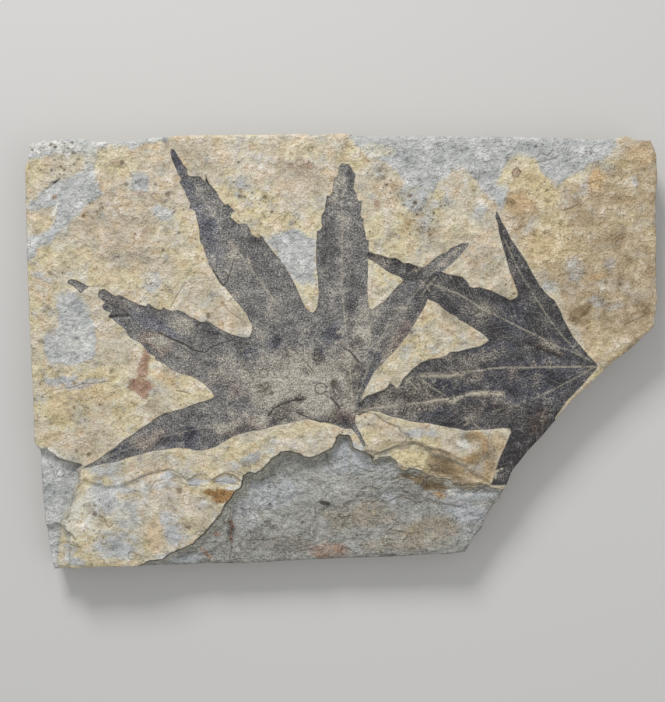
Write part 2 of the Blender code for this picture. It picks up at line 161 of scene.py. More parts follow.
BROAD_LEAF_PX = [
    (364.2, 446.3), (362.5, 445), (360, 440.8), (357.5, 435.8), (354.2, 431.7), (351.5, 429), (345, 429.2),
    (340, 427.1), (335, 425.4), (330, 423.8), (325, 422.1), (320, 422.5), (315, 420.8), (310, 420),
    (303, 420), (295, 422), (285, 424), (275, 426), (265, 429), (256, 431), (248, 432), (240, 434),
    (232, 437), (228, 440), (222, 443), (216, 447), (210, 449), (203, 450), (196, 451), (190, 449),
    (184, 449), (178, 448), (170, 449), (160, 450), (150, 452), (142, 454), (135, 456), (128, 458),
    (120, 461), (112, 463), (103, 464), (95, 466), (86, 468), (82, 468), (86, 466), (92, 463), (100, 458),
    (108, 452), (115, 448), (120, 443), (127, 438), (134, 434), (140, 429), (147, 425), (152, 421),
    (157, 417), (163, 414), (170, 412), (178, 410), (185, 408), (192, 405), (198, 403), (205, 401),
    (211, 399), (214, 397), (212, 392), (208, 388), (204, 384), (198, 380), (192, 377), (185, 375),
    (178, 373), (172, 370), (165, 364.5), (160.8, 362.4), (155.2, 360.3), (155.2, 356.4), (151, 354.6),
    (147.4, 352.2), (143.9, 346.5), (139.7, 342.6), (134.7, 340.2), (130.5, 338.1), (126.8, 334),
    (126.6, 330.6), (123.8, 328.5), (119.9, 325.4), (115.7, 321.8), (112.2, 318.7), (109.4, 318.3),
    (109, 315.8), (111.1, 313.2), (110.4, 312.2), (106.5, 311.6), (103.7, 309.5), (102.2, 307.4),
    (102.7, 305.3), (105, 303), (101.6, 300), (98.6, 297.9), (98.1, 294.7), (99.3, 290.5), (104, 288.9),
    (109.4, 292.6), (112.2, 294.7), (116.4, 296.2), (118.9, 295.2), (122, 296.4), (125.6, 298.2),
    (130.5, 301), (134.7, 303), (139, 304.6), (143.2, 305.8), (146, 306.7), (147.8, 303.5), (149.9, 304.6),
    (152.4, 306.7), (156.6, 309), (161.5, 309.8), (163.3, 307.2), (165.8, 309.1), (170, 310.5), (172, 311),
    (178, 310), (185, 313), (190, 317), (196, 319), (200, 322), (203, 322), (207, 321), (212, 324),
    (220, 329), (230, 334), (240, 337), (246, 337.5), (250, 337), (252, 332), (252, 325), (249, 320),
    (246, 313), (240, 306), (235, 300), (229, 293), (225, 287), (222, 286), (219, 282), (216, 277),
    (212, 270), (209, 265), (207, 258), (204, 251), (203, 245.8), (200.2, 240.8), (199.5, 235.2),
    (199.5, 231), (198.4, 226), (197.4, 221.1), (196.7, 216.9), (195.3, 211.9), (193.1, 209.5),
    (189.3, 208.4), (190.7, 204.2), (188.9, 199.9), (186.4, 195.7), (185, 191.5), (183.3, 188),
    (181.2, 185.1), (179.4, 182.3), (181.5, 179.1), (179, 176), (176.9, 171.7), (175.2, 166.8),
    (172.7, 161.9), (171.3, 157.6), (170.2, 153), (170.6, 150.6), (172.3, 148.6), (174.8, 150.6),
    (176.2, 153.4), (178.3, 157.3), (181.2, 160.8), (182.6, 164.7), (185, 166.8), (187.1, 168.9),
    (187.5, 172.4), (187.1, 174.6), (190, 176.3), (193.9, 176.5), (198.1, 176.3), (200.9, 177.4),
    (202.7, 179.5), (204.8, 181.3), (206.2, 177.7), (207.6, 180.2), (209.4, 183.7), (212.2, 186.9),
    (214.7, 190.4), (216.4, 191.5), (218.2, 195.7), (219.9, 199.2), (222.8, 202.1), (225.2, 205.2),
    (228.1, 204.2), (230.5, 207), (233.3, 209.8), (235.8, 211.2), (231.9, 213.3), (230.5, 216.2),
    (231.2, 218.3), (234.8, 221.1), (237.6, 223.6), (241.1, 223.9), (245.3, 223.6), (248.1, 226.4),
    (250.3, 230.3), (251.7, 234.5), (255.2, 236.6), (259.5, 238.5), (258.7, 233.8), (263, 237.3),
    (264.4, 240.8), (267.2, 244.4), (273, 252), (279, 258), (284, 265), (288, 272), (293, 281), (297, 289),
    (300, 296), (303, 303), (306, 308), (310, 312), (313, 313), (316, 310), (318, 304), (318.5, 298),
    (318.5, 290), (318, 280), (317, 272), (316.3, 263), (316.1, 255.1), (316.2, 248.8), (316.6, 241.7),
    (316.9, 236.1), (316.9, 231.2), (320.1, 230.5), (322.6, 226.2), (321.2, 222.7), (321.5, 215.6),
    (325, 210.7), (325.4, 205.8), (326.1, 200.1), (326.8, 195.5), (328.9, 196.6), (332.4, 192.4),
    (333.1, 187.4), (333.5, 181.1), (333.1, 176.2), (334.6, 177.9), (338.1, 175.1), (338.4, 171.9),
    (339.8, 165.6), (341.6, 163.1), (345.1, 164.2), (348.7, 164), (350.4, 166.3), (352.5, 170.5),
    (355.7, 175.1), (354.7, 179.7), (354.7, 184.6), (353.6, 189.6), (356.4, 193.4), (357.1, 197.3),
    (358.2, 201.5), (362.1, 200.8), (361.7, 205), (361, 210), (360.6, 214.9), (361.7, 218.1), (363.8, 218.8),
    (363.5, 224.8), (364.5, 229.8), (365.6, 235.4), (365.9, 239.6), (369, 240.7), (368.8, 246.7),
    (368.8, 251), (367.9, 259.5), (367.9, 268.3), (367.9, 275), (367.3, 285), (367.7, 293.3), (367.9, 300),
    (368.8, 305), (369.8, 308.3), (371.7, 310), (374.6, 308.3), (377.5, 305.8), (380.8, 303.8), (385, 300.8),
    (388.3, 297.1), (391.7, 292.5), (395.8, 287.9), (400, 283.8), (403.8, 280), (410, 276), (416, 271),
    (424.2, 266.7), (428.3, 264.2), (431.7, 260.8), (436.7, 257.1), (441.7, 254.2), (447.5, 251.7),
    (451.7, 247.9), (457.5, 245.4), (463.3, 243.3), (469.2, 243.3), (466.7, 247.9), (462.5, 252.5),
    (459.2, 257.1), (455.8, 260), (451.7, 264.2), (446.7, 268.3), (443.3, 271.3), (438.3, 275), (435.5, 281),
    (433, 288), (430, 295), (427.1, 300.8), (425, 305.8), (422.5, 310.8), (419.2, 315.8), (415.8, 321.7),
    (411.7, 327.5), (408.3, 334.2), (404.2, 339.2), (400, 345), (396.7, 349.2), (391.7, 354.2),
    (386.7, 359.2), (382.5, 363.8), (378, 368), (375, 370.5), (372.5, 375), (370, 380), (367.5, 385),
    (365, 389.2), (363.3, 393.3), (361.7, 398.3), (360.4, 402), (358, 408), (356, 414), (355, 420),
    (355.4, 424.2), (358.3, 430), (361.7, 435.8), (364.6, 441.7), (365.8, 445.8),
]
TIP_SCRAP_PX = [
    (67.4, 283.4), (68, 280.5), (70.6, 279.2), (77, 280.5), (81.2, 283), (84.7, 284.5), (86.5, 286),
    (89.5, 286.6), (85, 289.4), (82.5, 292), (80.5, 293.3), (78, 290.5), (75, 288), (71.3, 285.2),
]
SIDE_LEAF_PX = [
    (598, 366), (594, 361), (589, 356), (584, 350), (578, 343), (573, 336), (569, 329), (565, 322),
    (562, 315), (559, 308), (555, 301), (550, 297), (545, 292), (541, 287), (537, 281), (533, 274),
    (529, 266), (525, 259), (519, 251), (515, 244), (511, 239), (508, 233), (506, 228), (502, 222),
    (500, 217), (498, 213), (497, 209), (496, 213), (496, 218), (498, 225), (499, 232), (501, 240),
    (503, 247), (505, 254), (507, 261), (509, 268), (511, 275), (514, 282), (516, 288), (518, 293),
    (517, 297), (513, 299), (510, 300), (505, 297), (498, 294), (492, 291), (485, 289), (480, 287),
    (474, 288), (470, 287), (468, 283), (466, 280), (462, 277), (458, 276), (452, 275), (447, 274),
    (443, 272), (424, 268), (415.8, 265.7), (410, 263.3), (403.3, 262.9), (399.2, 260), (395, 257.9),
    (388.3, 258.2), (383.3, 255.8), (375, 253.8), (367, 251.5), (367.9, 259.2), (372.5, 260.8),
    (377.5, 264.2), (383.3, 268.3), (386.7, 270.8), (391.7, 273.8), (395, 275), (400, 277.1), (403.8, 280),
    (412, 286), (420, 294), (430, 300.4), (434.2, 301.7), (438.3, 303.8), (441.7, 307.5), (445.8, 310.8),
    (450.8, 314.2), (455.8, 315.8), (459.2, 320), (464.2, 322.1), (470, 325.8), (475, 329.2), (480, 332),
    (484, 335), (488, 339), (489, 341), (484, 344), (480, 346.3), (473.3, 347.9), (466.7, 349.6),
    (458.3, 351.7), (450, 352.1), (447.5, 355), (441.7, 357.5), (436.7, 358.3), (430, 359), (425, 361),
    (420, 363), (417, 366), (412, 369.5), (408.3, 374.2), (405, 376.7), (402.5, 380), (400, 385),
    (397.5, 389.2), (393.3, 385), (390.4, 381.7), (388.3, 385.8), (385, 389.2), (379.2, 391.7),
    (372.5, 394.2), (366.7, 395.8), (363.3, 399.2), (358, 404), (352, 409), (350, 412), (354, 414),
    (359.6, 415.4), (363.3, 413.8), (370, 411.5), (380, 412), (386.7, 415), (391.7, 416.7), (400, 418.3),
    (408.3, 420.8), (416.7, 422.5), (430, 423.5), (440, 426), (450, 428), (460, 429), (466, 431), (475, 430),
    (485, 430), (495, 429), (503, 428), (510, 429), (511, 433), (508, 440), (505, 447), (502, 453),
    (499, 460), (497, 467), (495, 473), (493, 480), (491, 485), (497, 485.5), (503, 485), (512, 486),
    (518, 474), (530, 462), (541, 450), (552, 436), (557, 424), (555, 418.5), (558, 414), (563, 407),
    (568, 400), (575, 393), (583, 385), (590, 376), (596, 370),
]

# Where sheets have flaked off. Each outline runs along its ledge, then round outside the rim.
MAIN_LEDGE_PX = [
    (128, 572), (141.5, 564.9), (148.5, 560.6), (162.3, 558.8), (167.5, 554.5), (174.4, 551), (183.1, 547.6),
    (191.7, 543.3), (202, 534.6), (209, 527), (217.5, 516.5), (224.2, 505.2), (229.4, 499.1), (232.9, 493),
    (240.7, 486.1), (241.5, 481), (243.3, 474.9), (249.3, 472.3), (255.4, 473.2), (260.6, 469.7),
    (264, 465.4), (269.2, 461), (274.4, 456.7), (278.7, 452.4), (284.8, 451), (291.7, 451.5), (298.7, 453.3),
    (303.8, 456.5), (309.2, 457.1), (315, 455.8), (320.8, 453.3), (326.7, 450), (331.7, 446.7), (335, 442.5),
    (336.7, 437.5), (340, 434.6), (345, 435.4), (349.2, 436.3), (351.7, 439.2), (353.3, 443.3),
    (354.6, 447.5), (358.3, 449), (363.3, 450), (366.7, 451.5), (370.8, 455), (372.5, 461.7), (380, 457.5),
    (390, 457.5), (395.8, 460.8), (400, 465), (405, 469.2), (410, 470), (415, 469.2), (422, 472), (430, 475),
    (440, 478), (450, 480), (460, 481), (470, 483), (480, 484), (490, 486), (500, 490), (520, 495),
    (560, 500), (560, 640), (128, 640),
]
BROWN_FLAKE_PX = [
    (350, 449), (358, 449.5), (368, 449.5), (378, 452), (388.3, 450.4), (392.5, 448.3), (398.3, 445.8),
    (404.2, 444.6), (411.7, 443.3), (418.3, 442.5), (423.3, 443.3), (425.8, 446.7), (430, 448.5), (440, 453),
    (450, 457), (463, 462), (470, 468), (476, 473), (484, 479), (490, 483), (500, 485), (520, 488),
    (560, 490), (560, 640), (350, 640),
]
CORNER_CHIP_PX = [
    (8, 446), (38.6, 448), (46.3, 449), (51.5, 452.4), (58.5, 457.6), (62, 459.8), (70.6, 462), (75.8, 463.6),
    (82.7, 464.2), (77.5, 470.6), (80, 475.8), (79.2, 481), (74.9, 488.7), (73.2, 496.5), (69.7, 504.3),
    (64.5, 513.8), (61, 524.2), (59.3, 534.6), (55.9, 546.7), (56, 558.8), (58, 572), (58, 640), (8, 640),
]
CORNER_FOOT_PX = [(8, 527), (46, 524), (52, 522), (58, 521), (64, 526), (70, 534), (70, 640), (8, 640)]
TONGUE_PX = [
    (84, 478), (92, 482), (104, 486), (118, 485), (128, 482), (134.6, 479.2), (148.5, 472.3), (157, 470.6),
    (167.5, 469.2), (172.7, 473.2), (179.6, 475.8), (186.5, 478.4), (193.5, 476.6), (200.4, 474),
    (207.3, 477.5), (212.5, 480.1), (217.7, 476.6), (222.9, 474), (232.9, 474.9), (239.8, 479.2), (262, 500),
    (250, 640), (58, 640), (62, 530), (74, 492),
]
BLUE_FACET_PX = [
    (120, 550), (148, 549), (160, 546), (172, 546), (188, 547), (197, 552), (203, 557), (212, 563),
    (218, 572), (218, 640), (120, 640),
]
LOWER_SHEET_PX = [
    (318, 513), (324, 508), (330, 505), (336, 508), (342, 508), (347, 503), (352, 499), (358, 495),
    (365, 493), (372, 495), (380, 495), (387, 490), (394, 489), (403, 491), (412, 493), (421, 498),
    (430, 501), (440, 503), (452, 503), (463, 507), (474, 511), (487, 513), (500, 514), (540, 520),
    (540, 640), (330, 640), (322, 560), (314, 536),
]
LEDGE_DEPTH_AT = [(140, 2.6), (200, 4.0), (260, 4.8), (340, 4.2), (400, 3.1), (500, 2.2)]
LEDGE_WALL_AT = [
    (140, 4.0), (175, 5.0), (200, 7.5), (225, 9.5), (255, 9.5), (270, 7.0), (285, 4.0), (400, 3.6),
    (440, 6.0),
]

# Grey bedding shows in these places on the buff face
GREY_PX = {
    "upper left top": [
        (20, 130), (92, 136), (98, 150), (96, 168), (90, 172), (84, 165), (86, 156), (76, 150), (60, 152),
        (50, 158), (40, 158), (27, 160), (18, 156),
    ],
    "upper left band": [
        (59, 178), (48, 186), (38, 198), (25, 206), (36, 210), (52, 206), (58, 214), (56, 222), (48, 229),
        (36, 233), (20, 238), (20, 262), (32, 258), (42, 246), (52, 242), (60, 234), (68, 226), (76, 217),
        (86, 208), (95, 200), (103, 192), (98, 180), (94, 168), (88, 164), (84, 172), (74, 176),
    ],
    "left polygon": [
        (60, 293), (75, 290), (82, 297), (86, 305), (90, 312), (93, 320), (95, 335), (96, 350), (92, 358),
        (80, 364), (68, 365), (58, 362), (50, 357), (45, 350), (44, 340), (47, 334), (60, 328), (56, 320),
        (57, 310), (53, 305),
    ],
    "scab": [(131, 170), (142, 168), (149, 178), (147, 193), (136, 195), (130, 186)],
    "small one": [(152, 209), (165, 206), (176, 212), (170, 222), (156, 221)],
    "small two": [(143, 273), (158, 271), (161, 282), (152, 292), (142, 288)],
    "between lobes": [
        (267, 243), (275, 238), (285, 232), (295, 228), (305, 231), (312, 235), (316, 240), (316, 285),
        (308, 290), (300, 285), (290, 275), (283, 265), (275, 252),
    ],
    "top right": [
        (352, 130), (352, 140), (358, 148), (370, 153), (380, 160), (390, 166), (397, 172), (402, 180),
        (412, 184), (425, 187), (436, 190), (440, 183), (450, 172), (462, 166), (468, 170), (470, 178),
        (476, 187), (485, 190), (490, 185), (497, 178), (503, 168), (510, 160), (520, 153), (530, 155),
        (538, 162), (543, 172), (550, 182), (556, 188), (562, 180), (566, 175), (580, 172), (590, 165),
        (600, 161), (610, 155), (615, 148), (618, 130),
    ],
    "strip": [(482, 186), (507, 184), (506, 204), (500, 210), (495, 204), (489, 195)],
    "corner chip": CORNER_CHIP_PX,
    "top bevel": [(88, 130), (174, 130), (168, 141), (150, 143.5), (120, 146.5), (92, 146)],
}

# Veins as light lines: (points, width, strength)
LIGHT_LINES = [
    ([(590, 360), (573, 352), (555.8, 346), (538.5, 336.3), (521, 328), (503.8, 319), (483, 309.5),
      (469, 300), (457, 293), (441.5, 288), (432, 284)], 1.5, 0.6),
    ([(592, 362), (578.3, 351.9), (562.7, 336.3), (550.6, 320.8), (541.9, 306.9), (528.1, 286.1),
      (519.4, 270.6), (512.5, 256.7), (503.8, 237.7)], 1.3, 0.45),
    ([(597, 366.7), (580, 366.8), (557.7, 367), (541.5, 367), (527.7, 367.7), (508, 367.7), (490.8, 368.3),
      (481.5, 370.6), (465.4, 371.7)], 1.3, 0.75),
    ([(468, 371.4), (460.8, 373.5), (449.2, 376.3), (442.3, 375.8), (430, 375.8), (419.2, 375.8)], 2.8, 0.85),
    ([(503, 394), (495, 393.4), (483.8, 393), (472.3, 393.2)], 3.2, 1.4),
    ([(474, 393), (466, 395), (460.8, 396.5), (451.5, 398.8), (442.3, 399.6), (435.4, 400.4),
        (426.2, 402.3)], 2.5, 1.2),
    ([(458, 398), (454, 401), (450, 401.5)], 3.0, 1.3),
    ([(428, 402), (414.6, 403.5), (399.6, 404.6), (385, 407), (370, 408.5), (357, 413)], 1.9, 0.8),
    ([(422.7, 380.4), (430, 385.5), (437, 390.5), (444.6, 395.4)], 1.1, 0.6),
    ([(407.7, 379), (411, 383), (416, 388)], 1.1, 0.5),
    ([(597, 366), (575, 378), (557.7, 387.3), (546, 393), (534.6, 398.8)], 1.3, 0.45),
    ([(518.5, 404.6), (505, 408), (493, 411.5)], 1.2, 0.4),
    ([(466, 418), (468.5, 422), (465, 425)], 1.3, 0.8), ([(474, 424), (479, 427.7), (484, 430)], 1.3, 0.6),
    ([(420, 280), (426, 285), (430, 291)], 1.3, 0.7), ([(436, 277), (428, 286), (421, 296)], 1.3, 0.6),
    ([(344, 190), (341.6, 200), (341.6, 207), (342.3, 213.5), (342.3, 238), (341.5, 262), (342, 290),
      (344, 310), (347, 340), (350, 370), (352, 395), (352, 412)], 1.5, 0.55),
    ([(207, 205), (210.7, 209.8), (217.8, 221), (220.6, 228)], 1.5, 0.55),
    ([(181, 165), (194, 184), (205, 203)], 1.2, 0.3),
    ([(227.6, 240.8), (236, 249.3), (243, 257.7), (262, 284), (275, 302)], 1.5, 0.5),
    ([(248, 258), (249.5, 262), (248, 266)], 2.0, 0.9),
    ([(288, 348), (296, 356), (305, 365), (315.4, 375.6)], 1.8, 0.55),
    ([(469, 243), (450, 255), (436, 268), (410, 300), (400, 312), (390, 322), (380, 340), (370, 362),
      (360, 390), (354, 408)], 1.4, 0.4),
    ([(82, 468), (110, 456), (150, 440), (200, 428), (250, 420)], 1.3, 0.3),
    ([(416, 270), (420, 266), (424, 267)], 3.0, 0.8),
    ([(495.5, 478), (496, 471.5), (502, 469)], 1.9, 1.3),
    ([(264, 371), (263, 374)], 2.4, 0.5),
    ([(320, 387), (321, 390)], 3.2, 0.6),
]
# Veins, cracks and thin broken edges as dark lines, in the same form; along the edges of the tongue and the
# corner chip they are painted shadow under the small steps
DARK_LINES = [
    ([(103, 298.5), (108, 303.4), (119, 308.3), (127.7, 313.8), (135.3, 320.9)], 1.4, 0.6),
    ([(158.2, 332.3), (171.3, 338.8), (184.4, 344.3), (195.3, 350.8), (205, 352.5)], 1.4, 0.8),
    ([(205, 352.5), (212.7, 346.5), (222, 343), (232.3, 340)], 1.1, 0.6),
    ([(205, 353), (220, 360), (240, 368), (280, 385)], 1.2, 0.3),
    ([(109.5, 317), (118, 315.8), (127.7, 315.5)], 2.2, 0.9),
    ([(331.7, 398.5), (336, 403.5), (339.4, 408.3)], 1.5, 0.8),
    ([(343.7, 348.3), (350.3, 351.6), (354, 356), (357.9, 361.4)], 1.9, 0.75),
    ([(268.5, 415.9), (273, 409), (280.5, 405), (292.5, 400.6), (303.4, 399.6)], 1.9, 0.8),
    ([(296.9, 412.6), (306.7, 417), (318.7, 421.4), (330, 423)], 1.7, 0.7),
    ([(190, 328), (205, 337), (230, 348), (250, 372), (262, 380)], 1.1, 0.35),
    ([(291.4, 347.2), (300, 356), (309, 366), (316.5, 376.7)], 1.1, 0.5),
    ([(223.4, 285.9), (227.6, 280.3), (230.5, 271), (233.3, 262)], 1.3, 0.55),
    ([(192.4, 176), (199, 182), (206.5, 187.3), (211, 197)], 1.1, 0.35),
    ([(206, 176.5), (206.5, 180), (208.5, 184)], 1.4, 0.9),
    ([(213.5, 270.4), (218, 278), (223.4, 285.9)], 1.3, 0.7),
    ([(375, 414.2), (383.3, 420.8), (391.7, 425), (399, 427.5), (401.4, 432.4), (408.7, 434.8),
      (409.3, 438.5), (413.6, 443.4)], 1.2, 0.9),
    ([(408.7, 436), (405.8, 441.5), (401.7, 442.5)], 1.1, 0.7),
    ([(375, 414.2), (364, 412), (355, 412.5)], 1.1, 0.6), ([(497, 209), (489, 190)], 1.2, 0.4),
    ([(89.5, 286.6), (95, 287), (100, 286)], 1.0, 0.5), ([(46, 189), (52.4, 184.5), (60, 178.5)], 1.5, 0.9),
    ([(32, 205), (40, 196), (46, 189)], 1.0, 0.5),
    ([(42, 397), (50, 391), (60, 389), (70, 388), (80, 385), (95, 383.5), (111.3, 381.4)], 1.2, 0.5),
    ([(130, 249), (140, 251), (150, 252), (158, 248)], 1.2, 0.4), ([(48, 272), (57, 277)], 2.2, 0.7),
    ([(185.5, 283.3), (180, 291), (175.6, 297.4), (170.2, 308.9)], 1.1, 0.6),
    ([(200.9, 253.5), (190, 271), (178.3, 293)], 0.9, 0.4),
    ([(221.4, 301.8), (229, 311.6), (238.9, 318), (246.5, 323.6)], 1.1, 0.6),
    ([(528, 343), (541.5, 349.2), (560, 356.5)], 2.2, 0.7), ([(625, 325), (640, 318), (655, 312)], 1.6, 0.6),
    ([(314.8, 506.8), (316, 519.8), (310, 528), (309.5, 532.8)], 1.4, 0.7),
    ([(326.7, 453.6), (329, 469), (336, 474), (343, 477.3)], 1.5, 0.6),
    ([(326.7, 453.6), (334, 459), (341, 461)], 1.0, 0.4),
    ([(230.3, 543.5), (231, 553), (229, 560)], 1.1, 0.7),
    ([(254.6, 530.5), (251, 540), (249.8, 548), (244, 554)], 2.6, 0.45),
    ([(255, 531), (261.6, 539), (275, 535.5)], 1.4, 0.35), ([(322, 553), (310, 551), (298, 553)], 1.2, 0.5),
    ([(326, 541), (316, 545), (300, 549), (290, 553)], 1.3, 0.5),
    ([(342.5, 504.8), (347.4, 509.7), (353, 512)], 1.5, 0.6),
    ([(362, 490.5), (367, 487.6), (373, 487.6), (376, 490)], 2.0, 1.0),
    ([(375.6, 499.9), (380.5, 503), (386, 503)], 1.2, 0.6),
    ([(387.9, 503.5), (394, 499.9), (401.4, 498.4), (408.7, 499.3), (416, 503.5)], 1.7, 0.9),
    ([(350, 493), (356, 496), (361, 493)], 1.3, 0.7), ([(344, 483), (352, 480), (360, 481)], 1.3, 0.5),
    ([(391.5, 481), (402, 477), (413, 480.5)], 1.2, 0.7),
    ([(398, 474), (409, 475), (421, 479), (433, 476)], 1.3, 0.8),
    ([(430, 471), (441, 472), (450, 475)], 1.2, 0.7), ([(443, 504), (455.4, 507), (464, 509)], 1.5, 0.7),
    ([(450, 522), (456, 525), (462, 530)], 1.1, 0.5),
    ([(370.7, 457.5), (375.6, 454.5), (380.5, 452.6), (389, 449.5), (397.7, 445.9), (406.3, 443.4)], 1.7,
        0.85),
    ([(406.3, 443.4), (416, 442.8), (421, 444), (426, 447), (430.8, 450)], 2.8, 1.1),
    ([(432, 449.5), (438, 449.5), (445.5, 453.2), (454, 457), (462.7, 461.2)], 2.8, 0.9),
    ([(463, 462), (466, 468), (474, 476)], 1.1, 0.3),
    ([(385.4, 459.4), (394, 459.4), (400, 466.7), (407.5, 472.9)], 2.2, 0.7),
    ([(399, 464.3), (403.8, 468.6), (413.6, 469.2), (418, 466), (423, 469.5), (432, 470.4)], 1.2, 0.8),
    ([(454, 485), (466, 486), (478, 484), (489.7, 486.4)], 2.0, 0.9),
    ([(460, 490), (470, 489), (480, 491)], 1.1, 0.5),
    # Painted shadow under the tongue's step edge
    ([(130.3, 482.3), (138.7, 478), (150, 473.8), (159.9, 471.7), (168.3, 469.2), (175.4, 471.7),
      (181, 475.3),
      (186.7, 480.9), (192.3, 478), (198, 473.9), (205, 475.3), (212, 480.2), (217.7, 476.7), (224.8, 473.4),
      (233.2, 475.3), (239.6, 480.9)], 1.3, 0.7),
    ([(181, 483), (190, 486), (199, 485.5), (205, 487)], 1.2, 0.5),
    ([(213, 483), (222, 481.5), (232, 484), (238, 485)], 1.2, 0.6),
    ([(149, 490), (155, 482), (162, 480)], 1.1, 0.6),
    # Painted shadow under the corner chip's step edge
    ([(54, 457), (62, 460.4), (72, 462.5), (81, 465)], 2.2, 0.8),
    ([(58, 317), (75, 316), (90, 318)], 1.1, 0.35),
    ([(48, 332), (70, 331), (94, 331)], 1.1, 0.35),
    ([(104, 519), (106, 525), (109, 528), (113, 524)], 1.0, 0.7),
    ([(64, 536), (68, 533), (72, 536), (75, 540)], 1.2, 0.8),
    ([(57, 545), (66, 544), (80, 548)], 1.3, 0.6),
    ([(177, 391), (184, 392), (190, 394)], 1.2, 0.7),
    ([(188, 280), (192, 284), (196, 281)], 1.2, 0.5),
    ([(537, 157), (541, 153), (548, 156), (553, 150)], 1.2, 0.7),
    ([(535, 163), (545, 161), (556, 158)], 1.3, 0.7),
    ([(545, 192), (549, 190), (552, 187), (554, 190)], 1.1, 0.6),
    ([(565, 210), (572, 208), (577, 205)], 1.6, 0.7),
    ([(598, 200), (604, 194), (609, 188)], 1.6, 0.5),
    ([(482, 160), (486, 163), (489, 161)], 1.2, 0.5),
    ([(496, 172), (504, 167), (510, 163)], 1.1, 0.4),
    ([(559, 276), (569, 273), (586, 274)], 1.1, 0.5),
    ([(602, 268), (608, 266), (614, 263)], 1.5, 0.5),
    ([(144, 210), (149, 206), (155, 205)], 1.2, 0.5),
]
# The brown slope's layers end one beside the next
DARK_LINES += [([(430 + 4.4 * i, 455 + 1.3 * i), (446 + 4.4 * i, 470 + 1.3 * i)], 1.2, 0.6) for i in range(8)]
# Small rings: (x, y, radius, strength)
RINGS = [
    (263.6, 373.4, 4.2, 0.6), (320.8, 388.7, 5.6, 0.6), (330, 389.7, 4.0, 0.4), (85, 369, 4.0, 0.4),
    (59, 473.8, 4.0, 0.7), (103.5, 542.3, 2.8, 0.5), (131.7, 556.4, 3.8, 0.6), (138, 557.8, 2.8, 0.6),
    (100.6, 562.7, 3.2, 0.6), (516.5, 173, 4.0, 0.6), (391, 189, 5.0, 0.6), (300, 163, 4.0, 0.5),
    (311, 166, 3.5, 0.5),
]
# Small spots, pits and flecks: (x, y, radius, strength)
SPOTS = [
    (55, 147, 1.8, 0.9), (64, 152, 1.4, 0.7), (73, 153, 1.5, 1.0), (32, 150, 1.8, 0.8), (51, 143.5, 1.4, 0.8),
    (72, 142.5, 1.5, 0.8), (54.6, 160, 1.3, 0.7), (61, 167, 1.1, 0.9), (64.5, 170, 1.2, 0.9),
    (51.7, 170.4, 1.3, 0.9), (78.5, 159.5, 1.5, 0.7), (86.5, 163, 1.2, 0.7), (88.5, 170, 1.4, 0.7),
    (74.5, 164, 1.8, 0.6), (88, 200, 1.2, 0.6), (90, 203.5, 1.2, 0.8), (122, 162, 2.4, 0.9),
    (126, 184.5, 1.6, 0.9), (155.5, 184.5, 1.6, 0.7), (168, 194, 3.0, 0.7), (179, 233.3, 1.4, 0.8),
    (163, 249.5, 1.8, 0.8), (83, 216, 1.8, 0.7), (92, 218, 2.0, 0.6), (135, 234, 1.4, 0.5),
    (94.3, 505.6, 1.6, 0.8), (94.3, 514.8, 2.4, 0.9), (99, 532, 1.3, 0.6), (88.7, 454.8, 2.0, 0.9),
    (76.7, 451.3, 1.4, 0.8), (179, 490.8, 3.4, 0.6), (199, 509, 1.8, 0.6), (110, 503, 1.6, 0.4),
    (122, 511, 1.6, 0.4), (80, 533, 1.6, 0.5), (208.3, 316, 2.6, 0.8), (111.3, 371.5, 2.6, 0.6),
    (240, 196.5, 2.4, 0.7), (245, 197, 1.4, 0.9), (265, 197, 2.0, 0.9), (272, 212, 1.4, 0.8),
    (238.5, 162.5, 1.2, 0.8), (253, 211, 1.3, 0.6), (100, 405, 1.5, 0.7), (92, 398, 1.3, 0.7),
    (85, 420, 1.6, 0.6), (120, 418, 1.4, 0.6), (104, 432, 1.5, 0.7), (66, 436, 1.4, 0.6),
    (112, 395, 1.6, 0.5), (128, 402, 1.3, 0.5), (74, 408, 2.0, 0.6), (50, 420, 1.5, 0.5),
    (275, 438, 1.4, 0.5), (205, 455, 1.3, 0.5), (419, 180, 1.6, 0.6), (410, 196, 2.2, 0.8),
    (415, 203, 2.0, 0.9), (421, 209, 2.2, 0.8), (426, 199, 1.4, 0.7), (434, 213, 1.8, 0.8),
    (441, 206, 1.4, 0.7), (404, 205, 1.8, 0.7), (438, 222, 1.6, 0.6), (417, 215, 1.8, 0.7),
    (536, 146.5, 1.5, 0.8), (591, 153, 1.3, 0.8), (378, 160, 1.2, 0.5), (384, 178, 2.2, 0.7),
    (380, 171, 1.8, 0.7), (386, 185, 1.8, 0.6), (462, 151, 1.4, 0.7), (356, 146, 1.4, 0.5),
    (620, 285, 2.0, 0.6), (576, 288, 1.4, 0.5), (606, 283, 2.2, 0.7), (590, 233, 1.5, 0.5),
    (632, 212, 1.4, 0.5), (297, 214, 1.2, 0.5), (282, 221, 1.2, 0.5), (272, 394, 1.8, 0.8),
    (265, 390, 1.6, 0.7), (261, 386, 1.5, 0.7), (270, 388, 1.4, 0.6), (252.5, 379, 1.6, 0.7),
    (251.5, 419, 1.5, 0.8), (301, 345, 1.2, 0.6), (301, 355, 1.3, 0.6), (337, 364.5, 1.0, 0.6),
    (334, 382, 1.8, 0.7), (195, 337.5, 1.2, 0.7), (176, 330, 1.2, 0.6), (202, 343, 1.4, 0.6),
    (178, 358, 1.4, 0.7),
]
